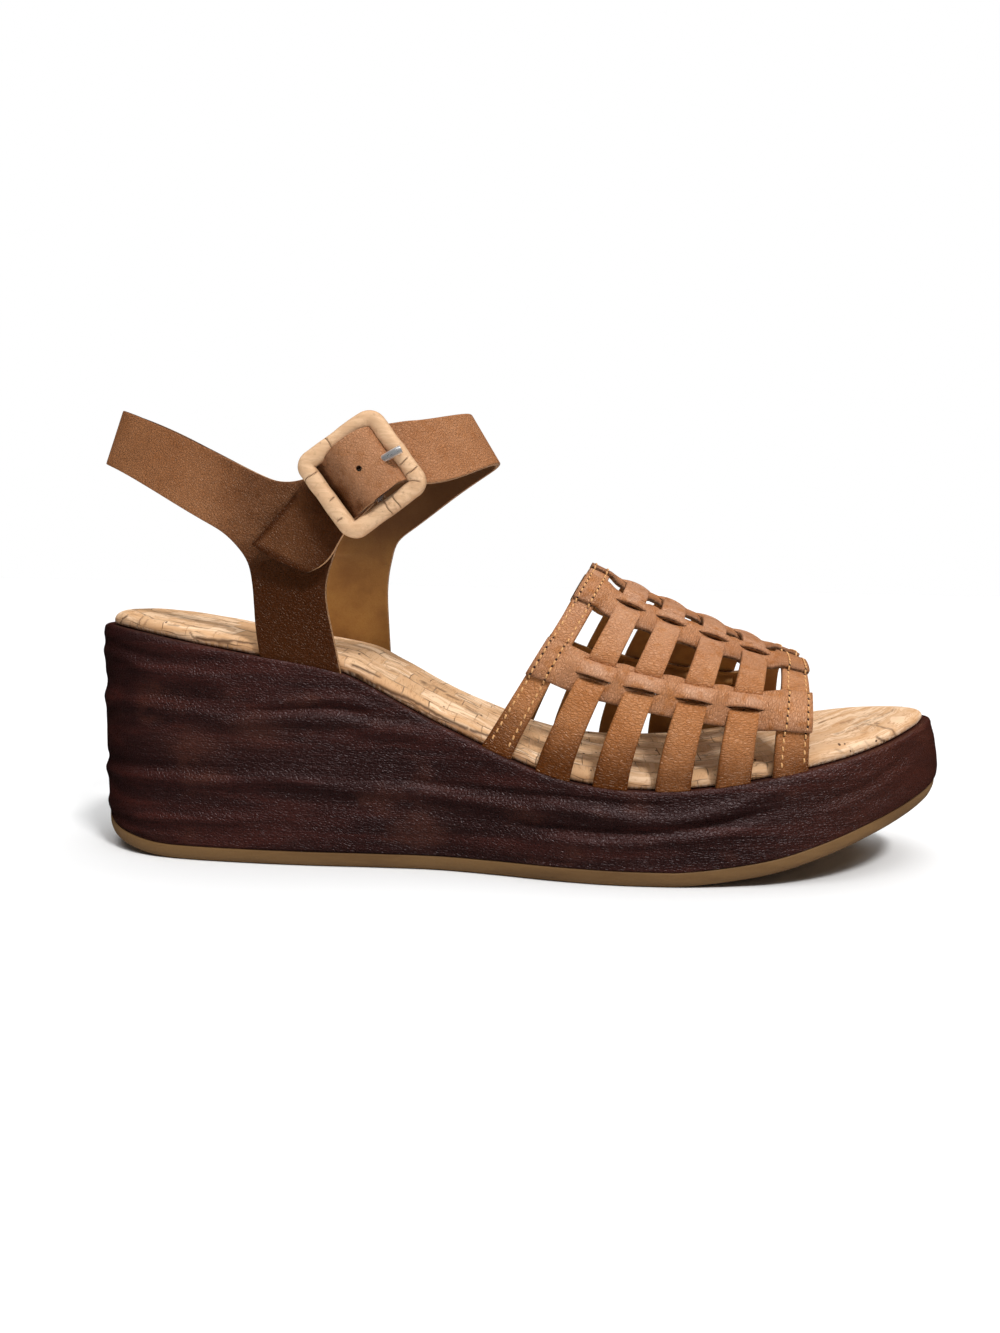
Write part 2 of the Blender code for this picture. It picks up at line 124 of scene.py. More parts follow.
# Ridges (positive) and troughs (negative) pressed into the wedge cover: height, half breadth,
# then points (run, z). Run is x on the outer side and minus x on the inner side.
RIDGES = [
    (0.45, 1.4, [(-70, 55.5), (-40, 60.0), (0, 62.8), (30, 61.2), (52, 57.6)]),
    (0.95, 2.1, [(-52, 52.6), (-20, 56.8), (4, 57.6), (16, 57.3), (22, 55.3), (28, 53.7), (38, 53.0),
                 (54, 51.2)]),
    (-0.55, 1.6, [(6, 60.4), (18, 59.0), (28, 56.9), (40, 56.0)]),
    (0.85, 2.4, [(-60, 41.6), (-20, 43.8), (4, 44.2), (16, 43.5), (25, 43.7), (31, 42.9), (40, 42.1),
                 (56, 39.6)]),
    (-0.50, 2.0, [(-30, 49.0), (4, 49.4), (20, 48.2), (36, 46.8), (52, 45.6)]),
    (0.35, 3.4, [(-44, 34.0), (4, 33.4), (26, 33.6), (52, 31.4)]),
    (0.70, 1.5, [(54, 45.0), (63, 46.0), (69, 46.7), (76, 47.5), (82, 47.3), (96, 44.6)]),
    (-0.70, 1.2, [(54, 42.8), (62, 43.6), (70, 44.4), (82, 44.6), (94, 42.6)]),
    (1.15, 2.0, [(44, 38.4), (54, 40.2), (60, 40.9), (66, 41.7), (74, 41.6), (82, 41.5), (89, 40.0),
                 (100, 38.8), (112, 36.6)]),
    (1.00, 1.9, [(-62, 24.6), (-18, 22.6), (4, 22.7), (14, 23.0), (23, 23.3), (37, 23.7), (50, 23.3),
                 (57, 24.4), (64, 24.9), (74, 23.6), (86, 22.6)]),
    (-0.50, 1.5, [(-30, 26.8), (6, 26.6), (14, 26.2), (30, 26.8), (48, 27.0)]),
    (0.75, 1.7, [(-48, 13.6), (-10, 13.4), (4, 13.2), (12, 12.0), (24, 11.6), (44, 12.4), (62, 13.0)]),
    (0.50, 1.4, [(-40, 7.2), (0, 6.6), (20, 6.4), (40, 6.9)]),
    (0.45, 2.0, [(78, 12.8), (89, 13.3), (98, 13.0), (106, 13.9), (117, 13.2), (128, 12.0)]),
    (1.20, 2.2, [(76, 22.8), (86, 22.3), (100, 22.3), (114, 21.0), (131, 19.9), (144, 20.2),
                 (155, 19.2), (163, 18.2),
                 (171, 18.3), (178, 19.6), (185, 21.6), (192, 24.4), (200, 27.2), (210, 29.4),
                 (224, 32.4)]),
    (-0.60, 1.4, [(94, 25.2), (105, 24.6), (114, 24.2), (123, 23.6), (134, 23.2), (146, 23.0),
                  (160, 22.2), (174, 22.4)]),
    (-0.80, 1.5, [(124, 15.8), (142, 14.6), (155, 14.6), (168, 15.6), (178, 17.0), (188, 18.8),
                  (197, 20.8), (208, 22.6)]),
    (0.80, 1.7, [(128, 11.6), (144, 11.8), (155, 11.4), (162, 12.2), (170, 13.2), (178, 14.0),
                 (188, 15.6), (200, 18.0)]),
    (-0.85, 1.4, [(200, 22.2), (209, 22.6), (216, 24.0), (222, 25.8), (227, 28.2), (234, 32.0),
                  (243, 35.0)]),
    (0.70, 1.5, [(208, 19.8), (219, 22.4), (227, 25.0), (234, 28.4), (240, 30.4), (248, 33.4)]),
    (0.55, 1.4, [(212, 26.4), (221, 28.6), (230, 31.6), (238, 35.0)]),
    (0.40, 2.2, [(98, 41.8), (107, 38.9), (114, 35.6), (122, 33.2), (134, 28.6)]),
]
# Length over which a ridge fades at its ends, and its sharpness above and below its line.
RIDGE_FADE = 11.0
RIDGE_SLOPES = (1.25, 0.80)
# Ridges that start past this x come again on the inner side: stretch and shift along x, share of
# the wedge's slope that they follow, rise.
REPEAT_FROM = 40
REPEAT_STRETCH, REPEAT_SHIFT, REPEAT_FOLLOW, REPEAT_RISE = 0.95, 8.0, 0.45, 1.2
# Places on the outer side where the cover is rubbed red: x, z.
WARM_SPOTS = [(40.0, 33.0), (58.0, 38.0)]

# Rounded side of the cork from its foot to its top: outset, share of the height.
CORK_SIDE = [
    (-0.9, 0.0), (-0.35, 0.05), (-0.05, 0.16), (0.0, 0.28), (-0.15, 0.44),
    (-0.60, 0.62), (-1.40, 0.78), (-2.6, 0.90), (-4.2, 0.97), (-6.0, 1.0),
]
# Rings on the cork's top, as shares of the way from one rim to the other.
CORK_TOP = (0.02, 0.045, 0.075, 0.11, 0.15, 0.20, 0.26, 0.33, 0.40, 0.47)
# Unevenness of the cork's top, and of the lines that its fissures follow.
CORK_UNEVEN, CRACK_RAGGED = 0.16, 0.35
# The cork's block pattern keeps its true size up the rounded side to here; on the top beyond, it
# is this many times as long.
SIDE_RISE, TOP_SQUEEZE = 5.0, 3.0
# How dark the foot of the cork's side is painted along x: painted shade on the rounded side, which turns
# away from the light.
SIDE_SHADE_X, SIDE_SHADE = (20.0, 40.0, 70.0, 125.0, 200.0), (0.75, 0.55, 0.85, 0.85, 0.50)
# Fissures in the cork on the outer side: half width, depth, then points (x, rise up the side).
FISSURES = [
    (0.32, 0.9, [(13.8, 1.4), (14.8, 2.8), (15.8, 3.8)]),
    (0.28, 0.6, [(20.5, 1.2), (21.0, 3.0), (21.5, 4.8)]),
    (0.28, 0.5, [(22.8, 1.3), (23.3, 3.0), (23.6, 4.6)]),
    (0.26, 0.7, [(30.5, 4.2), (32.0, 4.5), (33.5, 4.7)]),
    (0.30, 0.8, [(37.3, 3.4), (38.3, 2.2), (40.2, 1.0)]),
    (0.26, 0.6, [(35.0, 5.6), (38.0, 5.9), (41.0, 6.0)]),
    (0.50, 1.0, [(39.6, 2.0), (42.0, 2.1), (44.5, 2.3), (46.0, 2.2), (48.5, 2.9), (51.0, 3.4),
                 (56.0, 3.9)]),
    (0.90, 1.0, [(46.2, 2.4), (48.8, 2.7)]),
    (0.26, 0.6, [(44.0, 6.5), (48.0, 6.6), (53.0, 6.9)]),
    (0.26, 0.6, [(78.0, 13.0), (84.0, 13.2), (88.0, 14.0)]),
    (0.50, 1.0, [(83.7, 3.8), (87.0, 4.3), (90.8, 4.8)]),
    (0.60, 1.0, [(83.0, 1.1), (90.0, 1.4), (95.3, 2.1), (99.7, 2.9), (104.0, 3.1)]),
    (0.52, 1.0, [(104.0, 3.1), (108.3, 2.6), (112.8, 2.6), (118.0, 3.2), (122.0, 4.0)]),
    (0.28, 0.6, [(97.0, 1.4), (102.0, 1.6), (108.0, 1.4)]),
    (0.24, 0.5, [(92.0, 9.0), (97.0, 10.2), (101.0, 11.0), (105.5, 10.7)]),
    (0.40, 0.9, [(100.0, 12.0), (103.5, 12.6), (107.0, 13.3)]),
    (0.36, 0.9, [(99.5, 14.5), (105.0, 15.5)]),
    (0.34, 0.8, [(107.5, 11.9), (111.3, 12.3)]),
    (0.30, 0.5, [(215.5, 4.0), (217.2, 2.4)]),
    (0.28, 0.4, [(219.5, 3.6), (220.6, 1.6)]),
    (0.28, 0.4, [(224.5, 3.4), (225.5, 1.8)]),
    (0.40, 0.9, [(228.6, 3.2), (229.8, 2.2), (231.6, 0.6)]),
    (0.30, 0.7, [(229.0, 8.2), (231.2, 5.8), (234.3, 3.4), (235.2, 1.0)]),
    (0.26, 0.5, [(219.0, 8.8), (224.0, 8.0), (234.0, 8.2), (245.0, 7.6)]),
    (0.22, 0.4, [(224.0, 12.2), (231.0, 11.4), (242.0, 9.8)]),
    (0.20, 0.4, [(226.0, 9.8), (232.0, 9.4), (238.0, 8.9)]),
]

# Vamp

# Bands that stand up from the sole: share of the way from collar edge to toe edge.
BANDS = [
    (0.000, 0.092),
    (0.170, 0.275),
    (0.345, 0.450),
    (0.533, 0.640),
    (0.715, 0.822),
    (0.890, 1.000),
]
# How dark each band is near the sole: partly real burnish, partly painted shade where the band goes down
# toward the sole.
BAND_BURN_AND_SHADE = [0.95, 1.02, 0.98, 0.80, 0.74, 0.76]
# Lengthwise straps on one side, as shares of the arch from sole to crest: lower and upper edge
# at the collar, lower and upper edge at the toe, rise of both edges midway.
ROWS = [
    (0.305, 0.464, 0.185, 0.410, 0.040, 0.011),
    (0.655, 0.820, 0.590, 0.777, 0.000, 0.000),
    (0.928, 1.072, 0.905, 1.095, 0.000, 0.000),
]
# The last of them lies on the crest, and the others come again on the inner side.
ROW_COUNT = 2 * len(ROWS) - 1
# Slits of each lengthwise strap, as shares of its width from the lower edge.
SLITS = [(0.44, 0.84), (0.52, 0.82), (0.55, 0.86)]
# How far a slit reaches past both edges of the band that it lets through.
SLIT_OVER = 0.016

# Collar and toe edges: outer foot x, inner foot x, crest x, y and z, late lean.
COLLAR = (120.0, 123.0, 149.0, 4.0, 84.2, 1.0)
TOE_BAND = (207.0, 213.0, 211.0, 6.5, 58.4, 2.2)
CREST_SAG = 0.8
# Fullness of the half arches, where 2 is an ellipse.
OUTER_POWER, INNER_POWER = 2.25, 2.5
ARCH_POINTS, BAND_POINTS = 65, 301

# Leather levels, measured out from the middle surface of the weave.
VAMP_THICK = 1.4
BAND_OUT = 0.75
BAND_DIP = 2.60
DIP_BELOW, DIP_ABOVE = 3.2, 2.2
END_BAND_OUT = -0.10
LAP_OUT = 1.28
ROW_OUT = -0.22
ROW_PUFF, ROW_ROUND = 1.00, 0.22
# Further puff between two slits, for each lengthwise strap.
GAP_PUFF = (0.9, 0.3, 0.0, 0.3, 0.9)
# Rise and tilt of the loops of each lengthwise strap, and how round they are.
LOOP_RISE = (0.80, 0.60, 0.80, 0.60, 0.80)
LOOP_TILT = (0.85, 0.35, 0.0, -0.35, -0.85)
LOOP_ROUND = 0.12
SIDE_DIP = 0.90
# Rounding of a cut edge: distance from the edge, share of the full thickness.
EDGE_ROUND = [(0.0, 0.40), (0.12, 0.78), (0.30, 0.95), (0.55, 1.0)]
# Length of the vamp from collar to toe, for patterns laid in millimetres.
MM_PER_SHARE = 78.0

# Tone of the cut edges, from dyed dark at 0 to raw and pale at 1.
COLLAR_EDGE_TONE, BAND_EDGE_TONE, ROW_EDGE_TONE = 0.95, 0.42, 0.35
# Where the leather's pattern starts on the first band and row, and its shift to the next one.
BAND_PATTERN = (0.0, 17.0)
ROW_PATTERN = (140.0, 23.0)
# Width at which the pattern is laid on a lengthwise strap.
ROW_WIDTH = 11.0

# Stitch lines, as shares of the way from collar edge to toe edge, and distance of the needle holes.
STITCH_LINES = (0.017, 0.073, 0.913, 0.983)
STITCH_STEP = 2.15
NEEDLE_RADIUS, THREAD_RADIUS = 0.34, 0.27
# One stitch: half length as a share of the step, rise of its middle, slant, rings of points.
STITCH_REACH, STITCH_RISE, STITCH_SLANT = 0.34, 0.16, 0.10
STITCH_RINGS = 7

# Buckle and ankle piece

ANKLE_THICK, ANKLE_EDGE = 1.75, 0.30
BUCKLE_X, BUCKLE_Z = 87.6, 107.5
BUCKLE_LEAN = math.radians(37.0)
FRAME_HALF = 11.05
FRAME_BAR = (4.7, 4.6)
FRAME_CORNER = 2.4
# Distance of the frame from the foot, and its change along the strap.
FRAME_OUT = (34.9, -0.076)
FRAME_POINTS = 400
FRAME_UNEVEN = 0.20
BAR_OUT, BAR_RADIUS, BAR_CLEAR = 32.5, 1.4, 0.3
PRONG_RADIUS = 1.05
PRONG_SKEW = -0.16
# Prong past the bar: place along the strap, distance out from the foot.
PRONG_RUN = [(2.4, 35.2), (5.2, 36.0), (8.2, 37.2), (10.6, 37.7), (12.3, 37.4)]

# Hairline cracks round the buckle's cork: share of the way round, turn of the section, reach.
FRAME_CRACKS = [
    (0.174, 180.0, 85.0),
    (0.312, 185.0, 90.0),
    (0.410, 150.0, 28.0),
    (0.475, 195.0, 26.0),
    (0.652, 180.0, 95.0),
    (0.684, 190.0, 80.0),
    (0.775, 165.0, 55.0),
    (0.812, 185.0, 75.0),
    (0.850, 175.0, 55.0),
]
CRACK_HALF, CRACK_DEPTH = 0.15, 0.22

# Tab folded round the bar: its ends above and below, as place along the strap and distance out.
TAB_UPPER = [(-5.6, 32.3), (-3.2, 34.0)]
TAB_LOWER = (-4.5, 29.5)
TAB_HALF_THICK = 0.95
HALF_TAB, HALF_TAB_LOWER = 6.6, 7.4
# Centre line on the way from the tab round the heel to the front: x, y, z, half width.
HEEL_RUN = [
    (76.5, -29.3, 99.6, 8.6),
    (69.0, -29.2, 97.0, 9.0),
    (61.0, -28.8, 97.0, 9.3),
    (52.5, -27.8, 100.2, 9.3),
    (41.0, -25.4, 105.9, 9.2),
    (28.5, -21.5, 112.0, 8.7),
    (17.0, -15.0, 117.0, 8.3),
    (9.3, -7.5, 119.8, 8.3),
    (6.8, 0.0, 120.4, 8.3),
    (9.3, 7.5, 119.8, 8.3),
    (17.0, 14.6, 116.5, 8.3),
    (28.5, 21.0, 110.4, 8.3),
    (41.0, 25.0, 103.8, 8.5),
    (53.0, 27.4, 98.8, 8.7),
    (64.0, 28.5, 96.4, 8.8),
    (73.0, 29.0, 96.6, 8.7),
    (82.0, 29.0, 99.9, 8.6),
    (92.0, 27.4, 106.6, 8.4),
    (102.0, 22.6, 113.4, 8.3),
    (110.5, 14.5, 118.2, 8.3),
    (115.6, 7.0, 120.6, 8.3),
    (116.8, 0.0, 121.2, 8.3),
    (115.6, -7.0, 120.4, 8.3),
    (112.0, -14.0, 118.4, 8.6),
    (107.3, -20.6, 116.1, 8.9),
    (102.3, -25.6, 114.5, 8.9),
]
# Strap through the buckle: place along the strap, distance out from the foot, shift across.
BUCKLE_RUN = [
    (11.6, 29.3, -0.6),
    (10.0, 30.6, 0.0),
    (8.5, 34.2, 0.3),
    (6.6, 36.9, 0.7),
    (4.0, 38.0, 0.8),
    (1.2, 38.3, 0.8),
    (-1.8, 37.9, 0.8),
    (-4.6, 36.3, 0.6),
    (-7.0, 33.8, 0.6),
    (-9.2, 32.4, 0.8),
    (-11.4, 32.1, 0.6),
]
# Strap tip on the outer side leg: right x and z, left x and z, bulge of the row past both.
TIP_ROWS = [
    (81.2, 90.2, 68.6, 101.4, 0.0),
    (79.8, 87.6, 65.0, 97.4, 0.1),
    (78.3, 85.2, 61.6, 93.5, 0.3),
    (76.0, 83.0, 59.2, 90.8, 0.6),
    (72.4, 81.4, 57.2, 88.8, 1.0),
]
TIP_OUT = 32.4
TIP_DOWN = (-0.64, 0.0, -0.77)
# Lines of points along the strap, as shares of its half width, and its lean along x.
STRAP_LINES = (-1.0, -0.66, -0.30, 0.30, 0.66, 1.0)
STRAP_LEAN = [(6.8, 60.0, 116.8), (0.36, 0.0, -0.62)]
HALF_IN_BUCKLE = 8.5
# Punched hole beside the prong: place along the strap, distance out, shift across.
VACANT_HOLE = (0.6, 37.6, 0.9)
HOLE_RADIUS = 0.75

# Side legs down to the sole: back x, back z, front x, front z.
OUTER_LEG = [
    (54.0, 86.0, 78.9, 85.9),
    (55.6, 82.0, 77.2, 81.5),
    (56.4, 76.5, 76.5, 76.5),
    (56.8, 71.0, 77.2, 71.0),
    (57.3, 65.0, 78.9, 64.0),
]
INNER_LEG = [
    (59.5, 87.0, 85.0, 87.0),
    (61.8, 82.0, 83.9, 82.0),
    (62.8, 76.5, 83.5, 76.5),
    (63.2, 71.0, 83.7, 71.0),
    (63.5, 64.5, 84.2, 64.0),
]
# Back and front x of each leg on the sole, and the steps of the heel run that the legs hang from.
OUTER_FOOT = (58.6, 81.0)
INNER_FOOT = (64.6, 85.0)
LEG_SPANS = [(0, 3), (13, 16)]

# Camera: place in metres, turn about the vertical, tilt down and roll in degrees, lens.
CAMERA_PLACE = (0.0117, -0.3002, 0.0816)
CAMERA_TURN, CAMERA_TILT, CAMERA_ROLL = 3.5, 5.2, 1.0
CAMERA_LENS = 27.0


# Shape helpers

def smooth_path(rows, per_span, closed=False):
    """Catmull-Rom curve through table rows, with per_span points to each step."""
    rows = np.asarray(rows, float)
    count = len(rows)
    points = []
    for i in range(count if closed else count - 1):
        if closed:
            a, b, c, d = (rows[(i + k) % count] for k in (-1, 0, 1, 2))
        else:
            b, c = rows[i], rows[i + 1]
            a = rows[i - 1] if i else 2 * b - c
            d = rows[i + 2] if i + 2 < count else 2 * c - b
        for t in np.arange(per_span) / per_span:
            bend = (2 * a - 5 * b + 4 * c - d) * t ** 2 + (3 * b - a - 3 * c + d) * t ** 3
            points.append(b + 0.5 * ((c - a) * t + bend))
    return np.array(points if closed else [*points, rows[-1]])


def soft_step(value, low, high):
    t = np.clip((np.asarray(value, float) - low) / (high - low), 0.0, 1.0)
    return t * t * (3 - 2 * t)


def bell(off):
    return np.exp(-off ** 2)


def mixed(start, stop, share):
    return start + (stop - start) * share


def unit(vectors):
    return vectors / np.linalg.norm(vectors, axis=-1, keepdims=True)


def run_of(path):
    """Distance along a path at each of its points."""
    return np.concatenate([[0.0], np.cumsum(np.linalg.norm(np.diff(path, axis=0), axis=1))])


def path_at(path, run, marks):
    """Points of a path at marks, which are distances along it."""
    return np.column_stack([np.interp(marks, run, path[:, k]) for k in range(3)])


PROFILE_FINE = smooth_path(PROFILE, 6)


def profile_at(x, column):
    return np.interp(x, PROFILE_FINE[:, 0], PROFILE_FINE[:, column])


def ground_z(x):
    z = profile_at(x, 1)
    return np.where(z < FLAT_BELOW, 0.0, z)


def wedge_z(x):
    return profile_at(x, 2)


def toe_share(x):
    """0 along the sides, rising to 1 at the tip of the toe."""
    return soft_step(x, 216.0, 252.0)


def sole_outline(per_span):
    """Closed plan loop from the heel along the outer side to the toe and back."""
    outer = [(x, low) for x, low, _ in OUTLINE]
    inner = [(x, high) for x, _, high in reversed(OUTLINE)]
    return smooth_path([HEEL_POINT, *outer, TOE_POINT, *inner], per_span, closed=True)


def outer_half(loop):
    return np.arange(len(loop)) <= len(loop) // 2


def outward_of(loop):
    along = unit(np.roll(loop, -1, axis=0) - np.roll(loop, 1, axis=0))
    return np.stack([along[:, 1], -along[:, 0]], axis=1)


def grown(loop, outset):
    """Plan loop moved outward by outset, a number or one value per point."""
    return loop + outward_of(loop) * np.broadcast_to(outset, len(loop))[:, None]


def facing(values):
    """Values of a loop's points, each at the point across the middle line from its own."""
    return values[(-np.arange(len(values))) % len(values)]


def drawn_in(loop_ring, share, drop):
    """Ring drawn toward the middle line by a share of its width, and lowered."""
    moved = mixed(loop_ring, facing(loop_ring), share)
    moved[:, 2] -= drop
    return moved


def gap_to_line(x, z, points):
    """Distance of places (x, z) from a line through points."""
    gap = np.full(len(x), np.inf)
    for start, stop in zip(points[:-1], points[1:]):
        run_x, run_z = stop[0] - start[0], stop[1] - start[1]
        off_x, off_z = x - start[0], z - start[1]
        share = np.clip((off_x * run_x + off_z * run_z) / (run_x ** 2 + run_z ** 2), 0.0, 1.0)
        gap = np.minimum(gap, np.hypot(off_x - share * run_x, off_z - share * run_z))
    return gap


# Mesh helpers

def to_scene(points):
    """Table places in millimetres as places in the scene in metres."""
    return (np.asarray(points, float) - (X_MID, Y_MID, 0.0)) * MM


def add_object(name, data):
    thing = bpy.data.objects.new(name, data)
    bpy.context.scene.collection.objects.link(thing)
    return thing


def store_values(mesh, values):
    """Gives a mesh the point values that its material reads."""
    for key, value in values.items():
        value = np.asarray(value, np.float32)
        kind, field = ("FLOAT", "value") if value.ndim == 1 else ("FLOAT_VECTOR", "vector")
        mesh.attributes.new(key, kind, "POINT").data.foreach_set(field, value.ravel())


def add_piece(name, verts, faces, looks, values=None, face_looks=None, closed=True):
    """Mesh object from points in millimetres, with its materials and point values."""
    mesh = bpy.data.meshes.new(name)
    mesh.from_pydata(to_scene(verts).tolist(), [], faces)
    for look in looks:
        mesh.materials.append(look)
    if face_looks is not None:
        mesh.polygons.foreach_set("material_index", np.asarray(face_looks, np.int32))
    store_values(mesh, values or {})
    if closed:
        tool = bmesh.new()
        tool.from_mesh(mesh)
        bmesh.ops.recalc_face_normals(tool, faces=tool.faces)
        tool.to_mesh(mesh)
        tool.free()
    mesh.shade_smooth()
    return add_object(name, mesh)


def finish_piece(piece, slot, *nodes):
    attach(piece, "root")
    if nodes:
        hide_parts(*nodes)


def modify(piece, name, kind, **settings):
    modifier = piece.modifiers.new(name, kind)
    for key, value in settings.items():
        setattr(modifier, key, value)


def settle(piece):
    """Makes the shape that the modifiers give the piece's own mesh."""
    graph = bpy.context.evaluated_depsgraph_get()
    mesh = bpy.data.meshes.new_from_object(piece.evaluated_get(graph))
    piece.modifiers.clear()
    old = piece.data
    piece.data = mesh
    bpy.data.meshes.remove(old)
    mesh.name = piece.name
    mesh.shade_smooth()


def grid_faces(rows, columns):
    corners = (i * columns + j for i in range(rows - 1) for j in range(columns - 1))
    return [(a, a + 1, a + columns + 1, a + columns) for a in corners]


def stack_faces(levels, count, first=0):
    """Faces round a stack of closed rings of count points, with a flat cap at each end."""
    faces = []
    for low in range(first, first + (levels - 1) * count, count):
        for i in range(count):
            j = (i + 1) % count
            faces.append((low + i, low + j, low + count + j, low + count + i))
    for base in (first, first + (levels - 1) * count):
        for i in range(count // 2):
            near = [base + i, base + i + 1]
            far = [base + (count - i - 1) % count, base + (count - i) % count]
            faces.append(tuple(dict.fromkeys(near + far)))
    return faces


def tube(path, side, sizes, steps, closed=False, power=2.0):
    """Points and faces of a bar of rounded section; side points across the bar."""
    path, side = np.asarray(path, float), np.asarray(side, float)
    if closed:
        along = np.roll(path, -1, axis=0) - np.roll(path, 1, axis=0)
    else:
        along = np.gradient(path, axis=0)
    along = unit(along)
    side = unit(side - along * np.sum(side * along, axis=1)[:, None])
    other = np.cross(along, side)
    verts = []
    for turn in 2 * math.pi * np.arange(steps) / steps:
        c, s = math.cos(turn), math.sin(turn)
        a = math.copysign(abs(c) ** (2 / power), c) * sizes[0] / 2
        b = math.copysign(abs(s) ** (2 / power), s) * sizes[1] / 2
        verts.append(path + side * a + other * b)
    count = len(path)
    faces = []
    for k in range(steps):
        n = (k + 1) % steps
        for i in range(count if closed else count - 1):
            j = (i + 1) % count
            faces.append((k * count + i, k * count + j, n * count + j, n * count + i))
    if not closed:
        for end in (0, count - 1):
            faces.append(tuple(k * count + end for k in range(steps)))
    return np.concatenate(verts), faces


# Materials

class Look:
    """One material on a ground colour, with short calls for the nodes that it needs."""

    def __init__(self, name, ground):
        self.material = bpy.data.materials.new(name)
        self.material.use_nodes = True
        self.tree = self.material.node_tree
        self.shader = self.tree.nodes["Principled BSDF"]
        self.colour = ground

    def add(self, kind, inputs=(), **settings):
        node = self.tree.nodes.new("ShaderNode" + kind)
        for key, value in settings.items():
            setattr(node, key, value)
        for key, value in dict(inputs).items():
            self.feed(node.inputs[key], value)
        return node

    def feed(self, socket, value):
        if isinstance(value, bpy.types.NodeSocket):
            self.tree.links.new(value, socket)
        elif isinstance(value, tuple) and len(value) == 3 and socket.type == "RGBA":
            socket.default_value = (*value, 1.0)
        else:
            socket.default_value = value

    def place(self):
        """Place on the object in millimetres."""
        return self.stretched(self.add("TexCoord").outputs["Object"], (1 / MM, 1 / MM, 1 / MM))

    def lay(self):
        """Place along and across the leather or veneer, as the mesh holds it."""
        return self.add("Attribute", attribute_name="lay").outputs["Vector"]

    def value(self, name):
        return self.add("Attribute", attribute_name=name).outputs["Fac"]

    def stretched(self, vector, scale):
        return self.add("VectorMath", {0: vector, 1: scale}, operation="MULTIPLY").outputs[0]

    def wandering(self, vector, scale, reach):
        """Places moved about by a noise."""
        drift = self.stretched(self.noise(vector, scale, output="Color"), (reach, reach, reach))
        return self.add("VectorMath", {0: vector, 1: drift}, operation="ADD").outputs[0]

    def noise(self, vector, scale, detail=2.0, rough=0.5, warp=0.0, output="Fac"):
        """Noise at a scale that is one number, or one number per axis."""
        if isinstance(scale, tuple):
            vector, scale = self.stretched(vector, scale), 1.0
        inputs = {"Vector": vector, "Scale": scale, "Detail": detail}
        inputs.update({"Roughness": rough, "Distortion": warp})
        return self.add("TexNoise", inputs).outputs[output]

    def cells(self, vector, scale, feature="F1"):
        inputs = {"Vector": vector, "Scale": scale}
        return self.add("TexVoronoi", inputs, feature=feature).outputs["Distance"]

    def spread(self, value, low, high, to_low=0.0, to_high=1.0):
        inputs = {"Value": value, "From Min": low, "From Max": high}
        inputs.update({"To Min": to_low, "To Max": to_high})
        return self.add("MapRange", inputs, interpolation_type="SMOOTHSTEP").outputs[0]

    def math(self, operation, a, b=0.0):
        return self.add("Math", {0: a, 1: b}, operation=operation).outputs[0]

    def plus(self, a, b):
        return self.math("ADD", a, b)

    def minus(self, a, b):
        return self.math("SUBTRACT", a, b)

    def times(self, a, b):
        return self.math("MULTIPLY", a, b)

    def larger(self, a, b):
        return self.math("MAXIMUM", a, b)

    def tint(self, colour, share):
        """Lays a further colour over what is there."""
        inputs = {0: share, 6: self.colour, 7: colour}
        self.colour = self.add("Mix", inputs, data_type="RGBA").outputs[2]

    def bump(self, height, depth_mm, strength=1.0, below=None):
        inputs = {"Height": height, "Strength": strength, "Distance": depth_mm * MM}
        if below is not None:
            inputs["Normal"] = below
        return self.add("Bump", inputs).outputs[0]

    def finish(self, normal, cloud, rough, specular=0.5, sheen=(1.0, 1.0, 1.0), metal=0.0):
        """Feeds the shader; its roughness follows the noise cloud between the two values of rough."""
        sockets = {"Base Color": self.colour, "Roughness": self.spread(cloud, 0.3, 0.7, *rough)}
        sockets.update({"Specular IOR Level": specular, "Specular Tint": sheen, "Metallic": metal})
        if normal is not None:
            sockets["Normal"] = normal
        for key, value in sockets.items():
            self.feed(self.shader.inputs[key], value)
        return self.material


def leather_look(name, pale, deep, burnt_and_shade, wear_sheen_colour, grain, cloudy, shine):
    """Full-grain leather: blotches, creased grain, dark parts that are partly burnish and partly painted
    shade, light parts that are partly rubbed wear and partly painted sheen.
    """
    look = Look(name, pale)
    place, lay = look.place(), look.lay()
    look.tint(deep, look.spread(look.noise(place, 0.055, 3.0, 0.55), 0.36, 0.66))
    look.tint(deep, look.spread(look.noise(lay, (0.22, 0.5, 0.3), 3.0, 0.6), 0.40, 0.72, 0.0, 0.45))
    uneven = look.times(look.minus(look.noise(place, 0.16, 3.0), 0.5), cloudy)
    # Burnished dark parts, which also carry painted shade on the lower and turned-away parts of the
    # leather.
    look.tint(burnt_and_shade, look.spread(look.plus(look.value("burnish"), uneven), 0.02, 0.98))
    # Rubbed light parts, which also carry a painted sheen on the loops, the band tops and the strap in
    # the buckle.
    wear_sheen_patches = look.spread(look.noise(place, 0.35, 3.0), 0.24, 0.56)
    look.tint(wear_sheen_colour, look.times(look.value("rub"), wear_sheen_patches))
    pebbled = look.stretched(look.wandering(lay, 0.35, 0.9), grain)
    crease = look.spread(look.noise(pebbled, 1.0, 2.0, 0.55), 0.30, 0.70)
    cells = look.spread(look.cells(pebbled, 0.75, "DISTANCE_TO_EDGE"), 0.0, 0.22)
    look.tint(burnt_and_shade, look.spread(cells, 0.0, 0.8, 0.19, 0.0))
    fine = look.noise(lay, 3.2, 3.0, 0.6)
    height = look.plus(look.times(look.plus(cells, crease), 0.6), look.times(fine, 0.20))
    folds = look.bump(look.noise(lay, (0.26, 0.09, 0.2)), 0.35, 0.5)
    return look.finish(look.bump(height, 0.22, 0.9, folds), fine, (0.28, 0.38), shine, (1.0, 0.82, 0.64))


